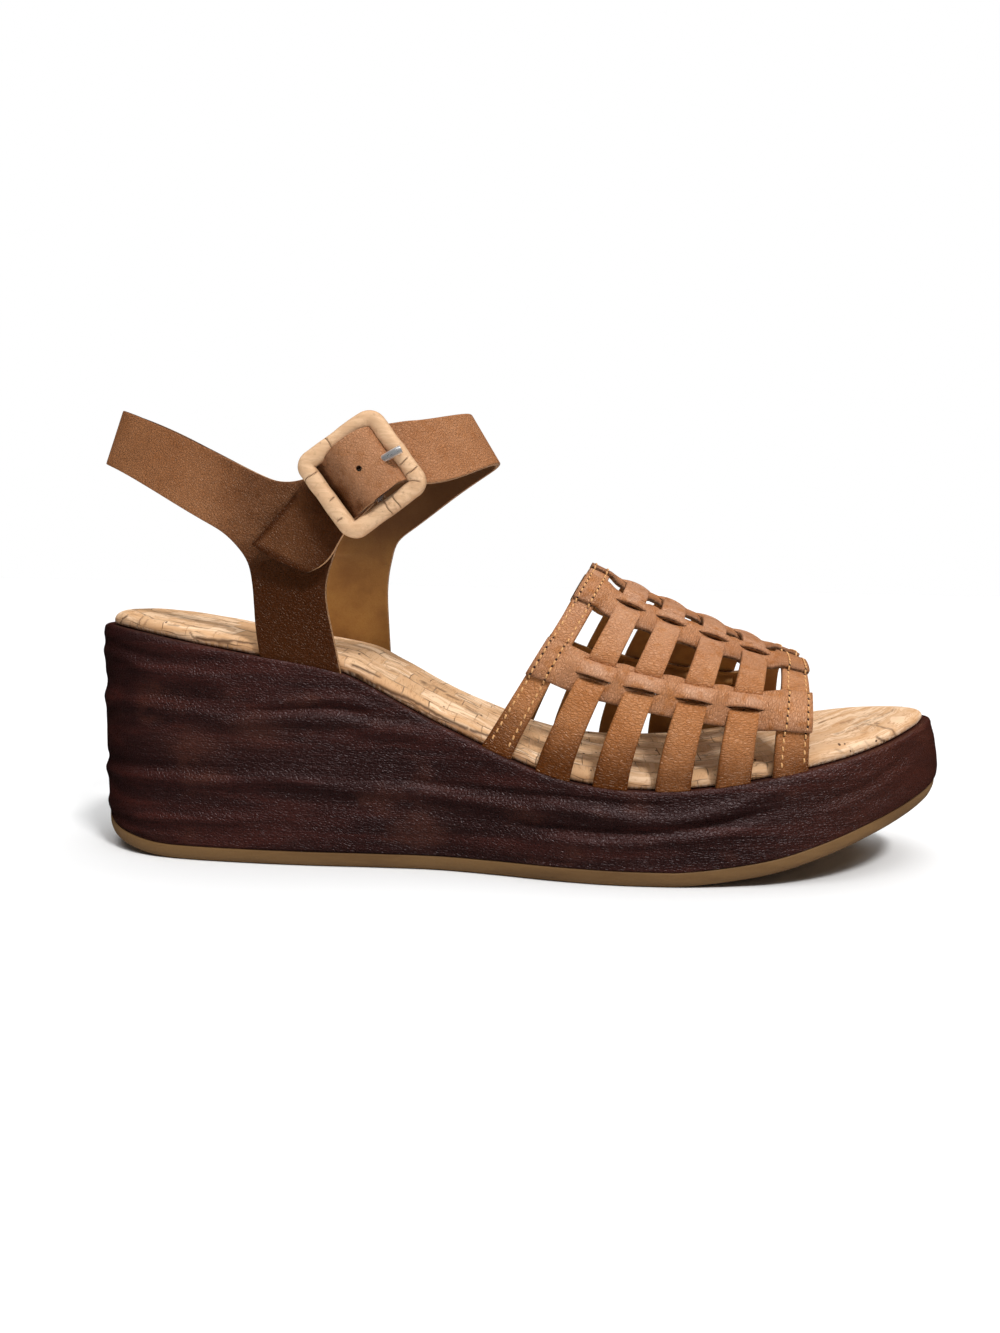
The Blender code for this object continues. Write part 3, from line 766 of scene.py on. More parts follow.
def edge_look(name, pale, dark):
    """Cut edge of leather: fibres, raw and pale or dyed dark."""
    look = Look(name, dark)
    fibre = look.noise(look.place(), (1.2, 1.2, 2.2), 4.0, 0.65)
    tone = look.plus(look.value("edge_tone"), look.minus(fibre, 0.5))
    look.tint(pale, look.spread(tone, 0.15, 0.85))
    return look.finish(look.bump(fibre, 0.08, 0.6), fibre, (0.62, 0.80), 0.3)


def flesh_look(name, pale, deep, dark):
    """Inner face of the leather: matt, short-napped, a little blotched, and darkened by painted shade
    where it lies under other parts.
    """
    look = Look(name, pale)
    place = look.place()
    look.tint(deep, look.spread(look.noise(place, 0.07, 4.0, 0.6), 0.32, 0.70))
    nap = look.noise(place, 1.9, 4.0, 0.7)
    look.tint(deep, look.spread(nap, 0.42, 0.75, 0.0, 0.35))
    # Painted shade on the flesh side.
    look.tint(dark, look.value("shade"))
    return look.finish(look.bump(nap, 0.10, 0.6), nap, (0.60, 0.78), 0.3)


def cork_look(name, pale, tan, brown, crack_colour, flaws):
    """Cork veneer in small blocks, each of its own tint and grain, with dark fissures and pores, and
    painted shade on the sides that turn away from the light.
    """
    look = Look(name, pale)
    lay, blocks = look.lay(), look.value("blocks")
    bent = look.wandering(lay, 0.10, 3.4)
    sizes = {"Scale": 1.0, "Mortar Size": 0.16, "Mortar Smooth": 0.5}
    sizes.update({"Brick Width": 7.6, "Row Height": 3.8})
    tones = {"Color1": (0.0, 0.0, 0.0), "Color2": (1.0, 1.0, 1.0), "Mortar": (0.5, 0.5, 0.5)}
    block = look.add("TexBrick", {"Vector": bent, **sizes, **tones}, offset=0.37)
    tone, seam = block.outputs["Color"], block.outputs["Fac"]
    long_grain = look.noise(bent, (0.07, 0.62, 0.60), 3.0, 0.60, 0.5)
    cross_grain = look.noise(bent, (0.70, 0.12, 0.60), 3.0, 0.60, 0.5)
    turn = look.times(look.spread(tone, 0.60, 0.66), blocks)
    grain = look.add("Mix", {0: turn, 2: long_grain, 3: cross_grain}, data_type="FLOAT").outputs[0]
    look.tint(tan, look.spread(grain, 0.36, 0.66))
    look.tint(tan, look.times(look.spread(tone, 0.10, 0.95), blocks))
    look.tint(brown, look.spread(look.noise(lay, 0.55, 3.0, 0.6), 0.56, 0.78, 0.0, 0.55))
    vein = look.math("PINGPONG", look.times(grain, 6.0), 0.5)
    vein = look.times(look.spread(vein, 0.0, 0.11, 1.0, 0.0), flaws)
    split = look.math("ABSOLUTE", look.minus(look.noise(bent, (0.030, 0.36, 0.3)), 0.5))
    split = look.spread(split, 0.0, 0.022, 0.65, 0.0)
    split = look.times(split, look.spread(look.noise(lay, 0.09), 0.46, 0.58))
    pore = look.spread(look.cells(lay, 0.40), 0.09, 0.16, 1.0, 0.0)
    pore = look.times(pore, look.spread(look.noise(lay, 0.3, 1.0), 0.54, 0.60))
    torn = look.spread(look.noise(lay, 0.17), 0.44, 0.66, 0.24, 0.95)
    seams = look.times(look.times(seam, torn), blocks)
    marks = look.times(look.larger(split, pore), flaws)
    lines = look.larger(look.larger(marks, seams), look.value("crack"))
    look.tint(brown, look.times(vein, 0.62))
    # Painted shade on the sides that turn away from the light, and a brown tint over the toe of the
    # footbed.
    look.tint(brown, look.value("side_shade_and_tint"))
    look.tint(crack_colour, look.times(lines, 0.88))
    fray = look.spread(look.noise(lay, (1.1, 0.2, 0.2)), 0.42, 0.58)
    look.tint(FRAYED_CORK, look.times(look.value("pale_edge"), fray))
    normal = look.bump(look.minus(look.times(grain, 0.40), lines), 0.32, 0.9)
    return look.finish(normal, grain, (0.55, 0.75), 0.25)


def wedge_look(name, dark, red, brown):
    """Dark pressed leather cover: long streaks, reddish patches, fine pebble grain."""
    look = Look(name, dark)
    place = look.place()
    streak = look.noise(place, (0.018, 0.05, 0.16), 4.0, 0.6, 0.4)
    look.tint(red, look.spread(streak, 0.42, 0.68))
    look.tint(brown, look.spread(look.noise(place, (0.05, 0.05, 0.09), 3.0, 0.55), 0.54, 0.74, 0.0, 0.8))
    thread = look.noise(place, (0.06, 0.1, 0.75), 3.0, 0.6, 0.5)
    look.tint(dark, look.spread(thread, 0.45, 0.70, 0.0, 0.3))
    look.tint(brown, look.value("warm"))
    pebbled = look.stretched(look.wandering(place, 0.4, 0.8), (0.85, 0.85, 1.45))
    pebble = look.spread(look.cells(pebbled, 1.0, "DISTANCE_TO_EDGE"), 0.0, 0.25)
    fine = look.noise(place, 2.6, 3.0, 0.65)
    streaks = look.bump(look.plus(thread, streak), 0.5, 0.8)
    normal = look.bump(look.times(look.plus(pebble, fine), 0.60), 0.25, 0.9, streaks)
    return look.finish(normal, fine, (0.32, 0.44), 0.50, (1.0, 0.88, 0.90))


def rubber_look(name, tan, deep):
    """Tan sole rubber: matt, slightly cloudy, with a fine ribbed tread underneath."""
    look = Look(name, tan)
    place = look.place()
    fine = look.noise(place, 1.4, 4.0, 0.65)
    look.tint(deep, look.spread(look.noise(place, (0.03, 0.05, 0.2), 4.0, 0.6), 0.35, 0.70))
    look.tint(deep, look.spread(fine, 0.50, 0.80, 0.0, 0.30))
    ribs = look.add("TexWave", {"Vector": place, "Scale": 0.105, "Distortion": 1.2}).outputs["Fac"]
    tread = look.times(look.spread(ribs, 0.25, 0.55), look.value("tread"))
    return look.finish(look.bump(fine, 0.06, 0.6, look.bump(tread, 0.8)), fine, (0.62, 0.78), 0.35)


def thread_look(name, pale, deep):
    """Waxed sewing thread, a little fibrous."""
    look = Look(name, pale)
    fibre = look.noise(look.place(), 3.0, 3.0, 0.6)
    look.tint(deep, look.spread(fibre, 0.35, 0.70))
    return look.finish(look.bump(fibre, 0.05, 0.6), fibre, (0.50, 0.66))


def plain_look(name, first, second, rough, metal=0.0, scale=1.0):
    """Quiet material with a faint cloud in colour and gloss."""
    look = Look(name, first)
    cloud = look.noise(look.place(), scale, 3.0, 0.6)
    look.tint(second, look.spread(cloud, 0.3, 0.7))
    return look.finish(None, cloud, (rough * 0.85, rough * 1.15), metal=metal)


FRAYED_CORK = (0.80, 0.62, 0.46)
VAMP_LEATHER = leather_look(
    "vamp_leather",
    pale=(0.505, 0.208, 0.076),
    deep=(0.425, 0.155, 0.046),
    burnt_and_shade=(0.115, 0.028, 0.002),
    wear_sheen_colour=(0.63, 0.365, 0.240),
    grain=(2.1, 1.00, 1.0),
    cloudy=0.40,
    shine=0.52,
)
ANKLE_LEATHER = leather_look(
    "ankle_leather",
    pale=(0.45, 0.190, 0.078),
    deep=(0.38, 0.148, 0.055),
    burnt_and_shade=(0.056, 0.0135, 0.002),
    wear_sheen_colour=(0.55, 0.28, 0.15),
    grain=(1.7, 1.7, 1.7),
    cloudy=0.22,
    shine=0.36,
)
LEATHER_EDGE = edge_look("leather_edge", pale=(0.55, 0.31, 0.155), dark=(0.050, 0.018, 0.008))
LEATHER_FLESH = flesh_look(
    "leather_flesh",
    pale=(0.32, 0.152, 0.036),
    deep=(0.20, 0.082, 0.018),
    dark=(0.060, 0.020, 0.004),
)
FOOTBED_CORK = cork_look(
    "footbed_cork",
    pale=(0.91, 0.66, 0.44),
    tan=(0.63, 0.375, 0.195),
    brown=(0.38, 0.175, 0.068),
    crack_colour=(0.070, 0.028, 0.011),
    flaws=1.0,
)
BUCKLE_CORK = cork_look(
    "buckle_cork",
    pale=(0.80, 0.525, 0.315),
    tan=(0.69, 0.425, 0.240),
    brown=(0.36, 0.19, 0.09),
    crack_colour=(0.160, 0.070, 0.030),
    flaws=0.30,
)
WEDGE_COVER = wedge_look(
    "wedge_cover",
    dark=(0.026, 0.0068, 0.0055),
    red=(0.054, 0.0115, 0.0078),
    brown=(0.070, 0.0190, 0.0105),
)
SOLE_RUBBER = rubber_look("sole_rubber", tan=(0.190, 0.100, 0.034), deep=(0.142, 0.070, 0.022))
THREAD = thread_look("sewing_thread", pale=(0.78, 0.43, 0.18), deep=(0.60, 0.29, 0.10))
# Dark disc that stands for a needle hole: painted shade, not a cut.
NEEDLE_HOLE_SHADE = plain_look("needle_hole_shade", (0.030, 0.012, 0.006), (0.050, 0.020, 0.010), 0.8)
STEEL = plain_look("polished_steel", (0.90, 0.90, 0.90), (0.80, 0.80, 0.81), 0.28, 0.72, 0.8)


# Sole pieces

def build_outsole(loop):
    rings = []
    for outset, lift in OUTSOLE_EDGE:
        flat = grown(loop, outset)
        rings.append(np.column_stack([flat, ground_z(flat[:, 0]) + lift]))
    tread = np.repeat([float(lift == 0.0) for _, lift in OUTSOLE_EDGE], len(loop))
    faces = stack_faces(len(rings), len(loop))
    piece = add_piece("outsole_rubber", np.concatenate(rings), faces, [SOLE_RUBBER], {"tread": tread})
    finish_piece(piece, "tan_rubber", "outsole")


def ridge_lines():
    """Height, half breadth and fine line of every ridge, with those repeated on the inner side."""
    lines = []
    for height, breadth, points in RIDGES:
        points = np.array(points, float)
        lines.append((height, breadth, smooth_path(points, 6)))
        if points[0, 0] > REPEAT_FROM:
            x, z = points[::-1].T
            far_x = x * REPEAT_STRETCH + REPEAT_SHIFT
            far_z = z + REPEAT_FOLLOW * (wedge_z(far_x) - wedge_z(x)) + REPEAT_RISE
            lines.append((height, breadth, smooth_path(np.column_stack([-far_x, far_z]), 6)))
    return lines


def ridge_lift(lines, run, z):
    """Height of the pressed ridges at points of the wedge wall."""
    total = np.zeros_like(z)
    for height, breadth, line in lines:
        start, stop = line[0, 0], line[-1, 0]
        ends = soft_step(run, start, start + RIDGE_FADE)
        ends = ends * (1 - soft_step(run, stop - RIDGE_FADE, stop))
        off = (z - np.interp(run, line[:, 0], line[:, 1])) / breadth
        slope = np.where(off > 0, *RIDGE_SLOPES)
        total += height * ends * bell(off * slope)
    round_heel = 1 - 0.40 * bell(run / 16.0)
    toward_toe = 1 - 0.65 * soft_step(np.abs(run), 182.0, 210.0)
    return total * round_heel * toward_toe


def build_wedge(loop):
    base = OUTSOLE_THICK + SEAM
    toe = toe_share(loop[:, 0])
    rim_in, rim_down = 1.0 + 0.2 * toe, 1.2 + 0.6 * toe
    rows = []
    for share in np.linspace(0.0, 1.0, WALL_ROWS):
        lean = TOE_LEAN * share ** 1.6 - TOE_BELLY * (1 - share)
        flat = grown(loop, np.interp(share, *np.transpose(WALL)) - lean * toe)
        low = ground_z(flat[:, 0]) + base
        rows.append((flat, mixed(low, wedge_z(flat[:, 0]) - rim_down, share), 1.0))
    for turn in np.radians(RIM_TURNS):
        flat = grown(loop, -rim_in * (1 - math.cos(turn)) - TOE_LEAN * toe)
        rows.append((flat, wedge_z(flat[:, 0]) - rim_down * (1 - math.sin(turn)), math.cos(turn)))
    outward = outward_of(loop)
    side = np.where(outer_half(loop), 1.0, -1.0)
    lines = ridge_lines()
    rings = []
    for flat, z, hold in rows:
        near_base = soft_step(z - (ground_z(flat[:, 0]) + base), 0.0, 3.0)
        tip = 1 - soft_step(flat[:, 0], 244.0, 254.0)
        lift = ridge_lift(lines, side * flat[:, 0], z) * near_base * tip * hold
        wave = [noise.noise(Vector((x * 0.03, y * 0.06, h * 0.22))) for (x, y), h in zip(flat, z)]
        wave = WALL_WAVE * np.array(wave) * near_base * hold
        rings.append(np.column_stack([flat + outward * (lift + wave)[:, None], z]))
    rings.append(drawn_in(rings[-1], 0.06, 0.15))
    verts = np.concatenate(rings)
    warm = 0.55 * soft_step(verts[:, 0], 185.0, 235.0)
    for x, z in WARM_SPOTS:
        near = np.exp(-((verts[:, 0] - x) / 8.0) ** 2 - ((verts[:, 2] - z) / 4.0) ** 2)
        warm = np.maximum(warm, 0.75 * near * (verts[:, 1] < 0))
    faces = stack_faces(len(rings), len(loop))
    piece = add_piece("wedge_cover", verts, faces, [WEDGE_COVER], {"warm": warm})
    finish_piece(piece, "dark_leather", "wedge")


def fissure_depth(x, rise):
    """How deep the cork is cracked, 0 to 1, at places along the outer side and up it."""
    deep = np.zeros(len(x))
    for half, depth, points in FISSURES:
        deep = np.maximum(deep, depth * bell(gap_to_line(x, rise, points) / half))
    return deep


def cork_rings(loop, side):
    """Rings of the cork board: up its rounded side, then over its domed top."""
    inset = FOOTBED_INSET + 2.2 * toe_share(loop[:, 0])
    rings = []
    for outset, share in side:
        flat = grown(loop, outset - inset)
        x = flat[:, 0]
        swell = 1.0 - soft_step(x, 30.0, 62.0) + 0.6 * soft_step(x, 180.0, 205.0)
        rings.append(np.column_stack([flat, wedge_z(x) + SEAM + (profile_at(x, 3) + swell) * share]))
    rim = rings[-1]
    dome = soft_step(rim[:, 0], 14.0, 60.0) * (1 - 0.8 * soft_step(rim[:, 0], 150.0, 200.0))
    return rings + [drawn_in(rim, share, -dome * (1 - (1 - 2 * share) ** 2)) for share in CORK_TOP]


def build_footbed(loop):
    side = smooth_path(CORK_SIDE, 4)
    rings = cork_rings(loop, side)
    steps = np.linalg.norm(np.diff(rings, axis=0), axis=2)
    rise = np.vstack([np.zeros((1, len(loop))), np.cumsum(steps, axis=0)])
    rise = np.where(rise < SIDE_RISE, rise, SIDE_RISE + (rise - SIDE_RISE) / TOP_SQUEEZE)
    gap = np.linalg.norm(rings[-1] - facing(rings[-1]), axis=1) / TOP_SQUEEZE
    far_rise = (rise[-1] + gap + facing(rise[-1]) - rise).ravel()
    rise = rise.ravel()
    outer = np.tile(outer_half(loop), len(rings))
    verts = np.concatenate(rings)
    x = verts[:, 0]
    uneven = np.array([noise.noise(Vector(p) * 0.11) for p in verts])
    ragged = np.array([noise.noise(Vector((p[0] * 0.9, p[1] * 0.9, 3.0))) for p in verts])
    verts[:, 2] += CORK_UNEVEN * uneven
    crack = np.where(outer, fissure_depth(x, rise + CRACK_RAGGED * ragged), 0.0)
    height = np.concatenate([side[:, 1], np.ones(len(CORK_TOP))]).repeat(len(loop))
    pale = 1 - soft_step(height, 0.10, 0.36)
    # Painted shade on the lower part of the cork's rounded side; a brown tint over the toe is added
    # below.
    side_shade_and_tint = (1 - soft_step(height, 0.20, 0.90)) * np.interp(x, SIDE_SHADE_X, SIDE_SHADE)
    values = {
        "crack": crack * soft_step(ragged, -0.80, -0.35),
        "pale_edge": pale * (0.40 + 0.55 * soft_step(x, 200.0, 216.0)),
        "lay": np.column_stack([x, np.where(outer, rise, far_rise), np.zeros(len(x))]),
        "side_shade_and_tint": np.maximum(side_shade_and_tint, 0.20 * soft_step(x, 190.0, 212.0)),
        "blocks": 1 - soft_step(x, 190.0, 214.0),
    }
    faces = stack_faces(len(rings), len(loop))
    piece = add_piece("cork_footbed", verts, faces, [FOOTBED_CORK], values)
    finish_piece(piece, "cork", "footbed")


# Woven vamp

def foot_of_strap(loop, x, outer):
    """Middle of a strap where it enters the sole: a point on the inset outline at x."""
    flat = grown(loop, -STRAP_INSET)
    half = len(flat) // 2
    edge = flat[: half + 1] if outer else flat[half:][::-1]
    order = np.argsort(edge[:, 0])
    y = np.interp(x, edge[order, 0], edge[order, 1])
    return np.array([x, y, float(wedge_z(x)) - STRAP_SINK])


def vamp_arch(loop, share):
    """Outer and inner half arches at a share of the way to the toe, both from sole to crest."""
    outer_x, inner_x, x, y, z, lean = mixed(np.array(COLLAR), np.array(TOE_BAND), share)
    crest = np.array([x, y, z - CREST_SAG * 4 * share * (1 - share)])
    turn = np.linspace(0.0, math.pi / 2, ARCH_POINTS)[:, None]
    halves = []
    for outer, foot_x, power in ((True, outer_x, OUTER_POWER), (False, inner_x, INNER_POWER)):
        foot = foot_of_strap(loop, foot_x, outer)
        middle = np.array([foot[0], crest[1], foot[2]])
        reach = np.cos(turn).clip(0) ** (2 / power)
        rise = np.sin(turn) ** (2 / power)
        lift = np.hstack([rise ** lean, rise, rise])
        halves.append(middle + (foot - middle) * reach + (crest - middle) * lift)
    return halves


class VampSurface:
    """Middle surface of the vamp.

    u runs from collar to toe, v from the outer foot over the crest to the inner foot.
    """

    def __init__(self, loop):
        self.u = np.linspace(-0.02, 1.02, 79)
        self.v = np.linspace(0.0, 2.0, 181)
        past_crest = len(self.v) // 2 + 1
        shares = self.v[:past_crest], 2.0 - self.v[past_crest:]
        rows, lengths = [], []
        for u in self.u:
            line = []
            for half, marks in zip(vamp_arch(loop, u), shares):
                run = run_of(half)
                line.append(path_at(half, run, marks * run[-1]))
                lengths.append(run[-1])
            rows.append(np.concatenate(line))
        self.points = np.array(rows)
        self.length = float(np.mean(lengths))
        self.normal = unit(np.cross(np.gradient(self.points, axis=0), np.gradient(self.points, axis=1)))

    def blend(self, table, u, v):
        a = np.clip((u - self.u[0]) / (self.u[1] - self.u[0]), 0, len(self.u) - 1.001)
        b = np.clip((v - self.v[0]) / (self.v[1] - self.v[0]), 0, len(self.v) - 1.001)
        i, j = a.astype(int), b.astype(int)
        s, t = (a - i)[:, None], (b - j)[:, None]
        low = table[i, j] * (1 - t) + table[i, j + 1] * t
        high = table[i + 1, j] * (1 - t) + table[i + 1, j + 1] * t
        return low * (1 - s) + high * s

    def at(self, u, v, out):
        u, v, out = np.broadcast_arrays(np.asarray(u, float), v, out)
        return self.blend(self.points, u, v) + unit(self.blend(self.normal, u, v)) * out[:, None]


def row_edges(index):
    """Edges and slits of a lengthwise strap, counted from the outer side over the crest."""
    side = min(index, ROW_COUNT - 1 - index)
    a, b, c, d, low_rise, high_rise = ROWS[side]
    first, second = SLITS[side]
    if index == side:
        return (a, c, low_rise), (b, d, high_rise), (first, second)
    return (2 - b, 2 - d, -high_rise), (2 - a, 2 - c, -low_rise), (1 - second, 1 - first)


def row_at(index, u, q):
    bow = 4 * u * (1 - u)
    bottom, top = (mixed(start, stop, u) + rise * bow for start, stop, rise in row_edges(index)[:2])
    return mixed(bottom, top, q)


class Straps:
    """Collects leather straps of one piece: grain side, flesh side and cut edges between them."""

    def __init__(self):
        self.verts, self.faces, self.looks = [], [], []
        self.values = {"lay": [], "burnish": [], "rub": [], "edge_tone": [], "shade": []}
        self.count = 0

    def add(self, grain_side, flesh_side, quads, **values):
        first, size = self.count, len(grain_side)
        self.verts += [grain_side, flesh_side]
        for key, value in values.items():
            self.values[key] += [np.asarray(value, float)] * 2
        sides = {(q[k], q[(k + 1) % 4]) for q in quads for k in range(4)}
        for quad in quads:
            self.faces.append(tuple(first + v for v in quad))
            self.faces.append(tuple(first + size + v for v in reversed(quad)))
            self.looks += [0, 2]
        for a, b in sides:
            if (b, a) not in sides:
                low_a, low_b = first + size + a, first + size + b
                self.faces.append((first + b, first + a, low_a, low_b))
                self.looks.append(1)
        self.count += 2 * size

    def piece(self, name, looks):
        values = {key: np.concatenate(value) for key, value in self.values.items()}
        verts = np.concatenate(self.verts)
        return add_piece(name, verts, self.faces, looks, values, self.looks, closed=False)


def edge_thick(distance):
    return np.interp(distance, *np.transpose(EDGE_ROUND))


def edged(low, high, per_mm, steps):
    """Places from low to high, with close lines at both ends where the cut edge is rounded."""
    close = np.array([distance for distance, _ in EDGE_ROUND]) * per_mm
    middle = np.linspace(low + close[-1], high - close[-1], steps)
    return np.concatenate([low + close[:-1], middle, high - close[-2::-1]])


def laid(along, across, pattern, index):
    """Places on the leather's pattern, in a part of it that no other strap has."""
    start, shift = pattern
    return np.column_stack([along, across, np.full(len(along), start + shift * index)])


def band_strip(surface, straps, index):
    """One band standing up from the sole, diving behind the loop of each lengthwise strap."""
    low, high = BANDS[index]
    lines = edged(low, high, 1 / MM_PER_SHARE, 7)
    marks = np.linspace(0.0, 2.0, BAND_POINTS)
    u, v = (values.ravel() for values in np.meshgrid(lines, marks))
    side = (2 * u - low - high) / (high - low)
    if 0 < index < len(BANDS) - 1:
        out = BAND_OUT + 0.20 * (1 - side ** 2)
        for row in range(ROW_COUNT):
            slits = row_edges(row)[2]
            up = 1 if row < len(ROWS) else -1
            off = (v - row_at(row, u, sum(slits) / 2)) * surface.length * up
            out -= BAND_DIP * bell(off / np.where(off < 0, DIP_BELOW, DIP_ABOVE))
    else:
        out = END_BAND_OUT + 0.10 * (1 - side ** 2)
    end = np.minimum(v, 2 - v)
    out *= soft_step(end, 0.0, 0.10)
    half = VAMP_THICK / 2 * edge_thick(np.minimum(u - low, high - u) * MM_PER_SHARE)
    # Darker toward the sole and at the band's side edges: partly burnish, partly painted shade.
    burnish = BAND_BURN_AND_SHADE[index] * (1 - soft_step(end, -0.06, 0.34)) + 0.18 * np.abs(side) ** 5
    straps.add(
        surface.at(u, v, out + half),
        surface.at(u, v, out - half),
        grid_faces(len(marks), len(lines)),
        lay=laid(v * surface.length, u * MM_PER_SHARE, BAND_PATTERN, index),
        burnish=burnish,
        # Lighter away from the sole: rubbed wear and a painted sheen on the upper part of the band.
        rub=0.50 * soft_step(end, 0.3, 0.8),
        edge_tone=np.full(len(u), BAND_EDGE_TONE if index else COLLAR_EDGE_TONE),
        shade=0.4 * burnish,
    )


def row_columns():
    """Places along a lengthwise strap: (u, place in the slit or None, puff between two slits)."""
    collar_end, toe_start = BANDS[0][1], BANDS[-1][0]

    def between(start, stop):
        marks = np.linspace(0.0, 1.0, 10)[1:-1]
        return [(mixed(start, stop, m), None, 4 * m * (1 - m)) for m in marks]

    columns = [(u, None, 0.0) for u in np.linspace(0.0, collar_end, 8)]
    before = collar_end
    for low, high in BANDS[1:-1]:
        start, stop = low - SLIT_OVER, high + SLIT_OVER
        columns += between(before, start)
        middle, reach = (start + stop) / 2, (stop - start) / 2
        for t in np.sin(np.linspace(-1, 1, 21) * math.pi / 2):
            columns.append((middle + reach * t, t, 0.0))
        before = stop
    columns += between(before, toe_start)
    return columns + [(u, None, 0.0) for u in np.linspace(toe_start, 1.0, 9)]


def lap_share(u):
    """1 where a lengthwise strap lies on an end band, 0 away from both."""
    collar = 1 - soft_step(u, BANDS[0][1] - 0.004, BANDS[1][0] - 0.022)
    toe = soft_step(u, BANDS[-2][1] + 0.018, BANDS[-1][0] + 0.004)
    return float(np.maximum(collar, toe))


def row_strip(surface, straps, index):
    """One lengthwise strap, cut by two slits at each crossing; its middle loops over the band."""
    low, high, (first, second) = row_edges(index)
    per_mm = 2 / ((high[0] - low[0] + high[1] - low[1]) * surface.length)
    parts = (0.0, first, 4), (first, second, 5), (second, 1.0, 3)
    strips = [edged(start, stop, per_mm, steps) for start, stop, steps in parts]
    middle, reach = (first + second) / 2, (second - first) / 2
    rows, numbers = [], []
    for u, t, puff in row_columns():
        inside = t is not None and abs(t) < 0.999
        arch = 1 - t * t if t is not None else 0.0
        lap = lap_share(u)
        open_slit = float(soft_step(arch, 0.0, 0.35))
        ids = []
        for k, lines in enumerate(strips):
            part = []
            swell = arch if k == 1 else 0.0
            for n, q in enumerate(lines):
                if n == 0 and k > 0 and not inside:
                    part.append(ids[-1][-1])
                    continue
                off = (q - middle) / reach
                out = mixed(ROW_OUT, LAP_OUT, lap)
                out += (ROW_PUFF + GAP_PUFF[index] * puff) * (1 - lap) * math.exp(-(off / 1.5) ** 2)
                out -= ROW_ROUND * abs(2 * q - 1) ** 4
                out += (LOOP_RISE[index] - LOOP_TILT[index] * off - LOOP_ROUND * off ** 2) * swell
                out -= SIDE_DIP * (arch - swell)
                thick = float(edge_thick(min(q, 1 - q) / per_mm))
                slit = float(edge_thick(min(abs(q - first), abs(q - second)) / per_mm))
                thick = min(thick, 1 - (1 - slit) * open_slit)
                part.append(len(rows))
                rows.append((u, q, out, thick, arch * math.exp(-(off / 1.1) ** 2)))
            ids.append(part)
        numbers.append(ids)
    quads = []
    for here, there in zip(numbers[:-1], numbers[1:]):
        for a, b in zip(here, there):
            quads += [(a[n], b[n], b[n + 1], a[n + 1]) for n in range(len(a) - 1)]
    u, q, out, thick, crown = np.transpose(rows)
    v = row_at(index, u, q)
    half = VAMP_THICK / 2 * thick
    # Painted shade on the lower part of the strap where it turns under, and darker toward both edges:
    # partly burnish, partly painted shade.
    below = 1 - soft_step(q if index < len(ROWS) else 1 - q, 0.05, 0.60)
    burnish = 0.10 + 0.25 * np.abs(2 * q - 1) ** 4 + 0.22 * below * (1 - crown)
    straps.add(
        surface.at(u, v, out + half),
        surface.at(u, v, out - half),
        quads,
        lay=laid(u * MM_PER_SHARE, q * ROW_WIDTH, ROW_PATTERN, index),
        burnish=burnish,
        # Painted sheen on the crown of each loop, mixed with rubbed wear.
        rub=0.26 + 0.44 * crown,
        edge_tone=np.full(len(u), ROW_EDGE_TONE),
        shade=0.2 * burnish,
    )


def thread_path(surface, u):
    """Places of the needle holes along a stitch line, and the way up from the leather at each."""
    v = np.linspace(0.03, 1.97, 900)
    step = 0.006
    on_band = END_BAND_OUT + VAMP_THICK / 2
    out = np.full(len(v), on_band)
    for row in range(ROW_COUNT):
        bottom, top = row_at(row, u, 0.0), row_at(row, u, 1.0)
        on_lap = soft_step(v, bottom - step, bottom + step) * (1 - soft_step(v, top - step, top + step))
        out = np.maximum(out, on_band + (LAP_OUT - END_BAND_OUT) * on_lap)
    line = surface.at(np.full(len(v), u), v, out)
    up = surface.at(np.full(len(v), u), v, out + 1.0) - line
    run = run_of(line)
    marks = np.arange(0.5, run[-1], STITCH_STEP)
    return path_at(line, run, marks), unit(path_at(up, run, marks))


def stitch(start, stop, up, turns):
    """Rings of one stitch, and the rim and middle of the dark disc of painted shade that stands for the
    needle hole at its start.
    """
    reach = np.linalg.norm(stop - start)
    along = (stop - start) / reach
    across = unit(np.cross(up, along))
    rings = []
    for i in range(STITCH_RINGS):
        t = -1 + 2 * i / (STITCH_RINGS - 1)
        girth = THREAD_RADIUS * math.sqrt(max(0.0, 1 - 0.92 * t ** 4))
        centre = (start + stop) / 2 + along * t * reach * STITCH_REACH
        centre = centre + up * (STITCH_RISE * (1 - 1.7 * t ** 4)) + across * STITCH_SLANT * t
        rings += [centre + girth * (across * c + up * 0.8 * s) for c, s in turns]
    hole = [start + NEEDLE_RADIUS * (across * c + along * s) + up * 0.02 for c, s in turns]
    return rings, [*hole, start + up * 0.06]


def build_stitching(surface):
    """Saddle stitches on the collar and toe bands, with a dark disc of painted shade for each needle
    hole.
    """
    sides = 8
    turns = [(math.cos(t), math.sin(t)) for t in 2 * math.pi * np.arange(sides) / sides]
    verts, faces, looks = [], [], []
    for u in STITCH_LINES:
        spots, rise = thread_path(surface, u)
        for start, stop, up in zip(spots[:-1], spots[1:], rise[:-1]):
            rings, hole = stitch(start, stop, up, turns)
            thread_faces = stack_faces(STITCH_RINGS, sides, len(verts))
            verts += rings
            rim = [len(verts) + k for k in range(sides)]
            hole_faces = [(rim[k], rim[(k + 1) % sides], rim[-1] + 1) for k in range(sides)]
            hole_faces.append(tuple(reversed(rim)))
            verts += hole
            faces += thread_faces + hole_faces
            looks += [0] * len(thread_faces) + [1] * len(hole_faces)
    piece = add_piece("vamp_stitching", verts, faces, [THREAD, NEEDLE_HOLE_SHADE], face_looks=looks)
    finish_piece(piece, "tan_leather")


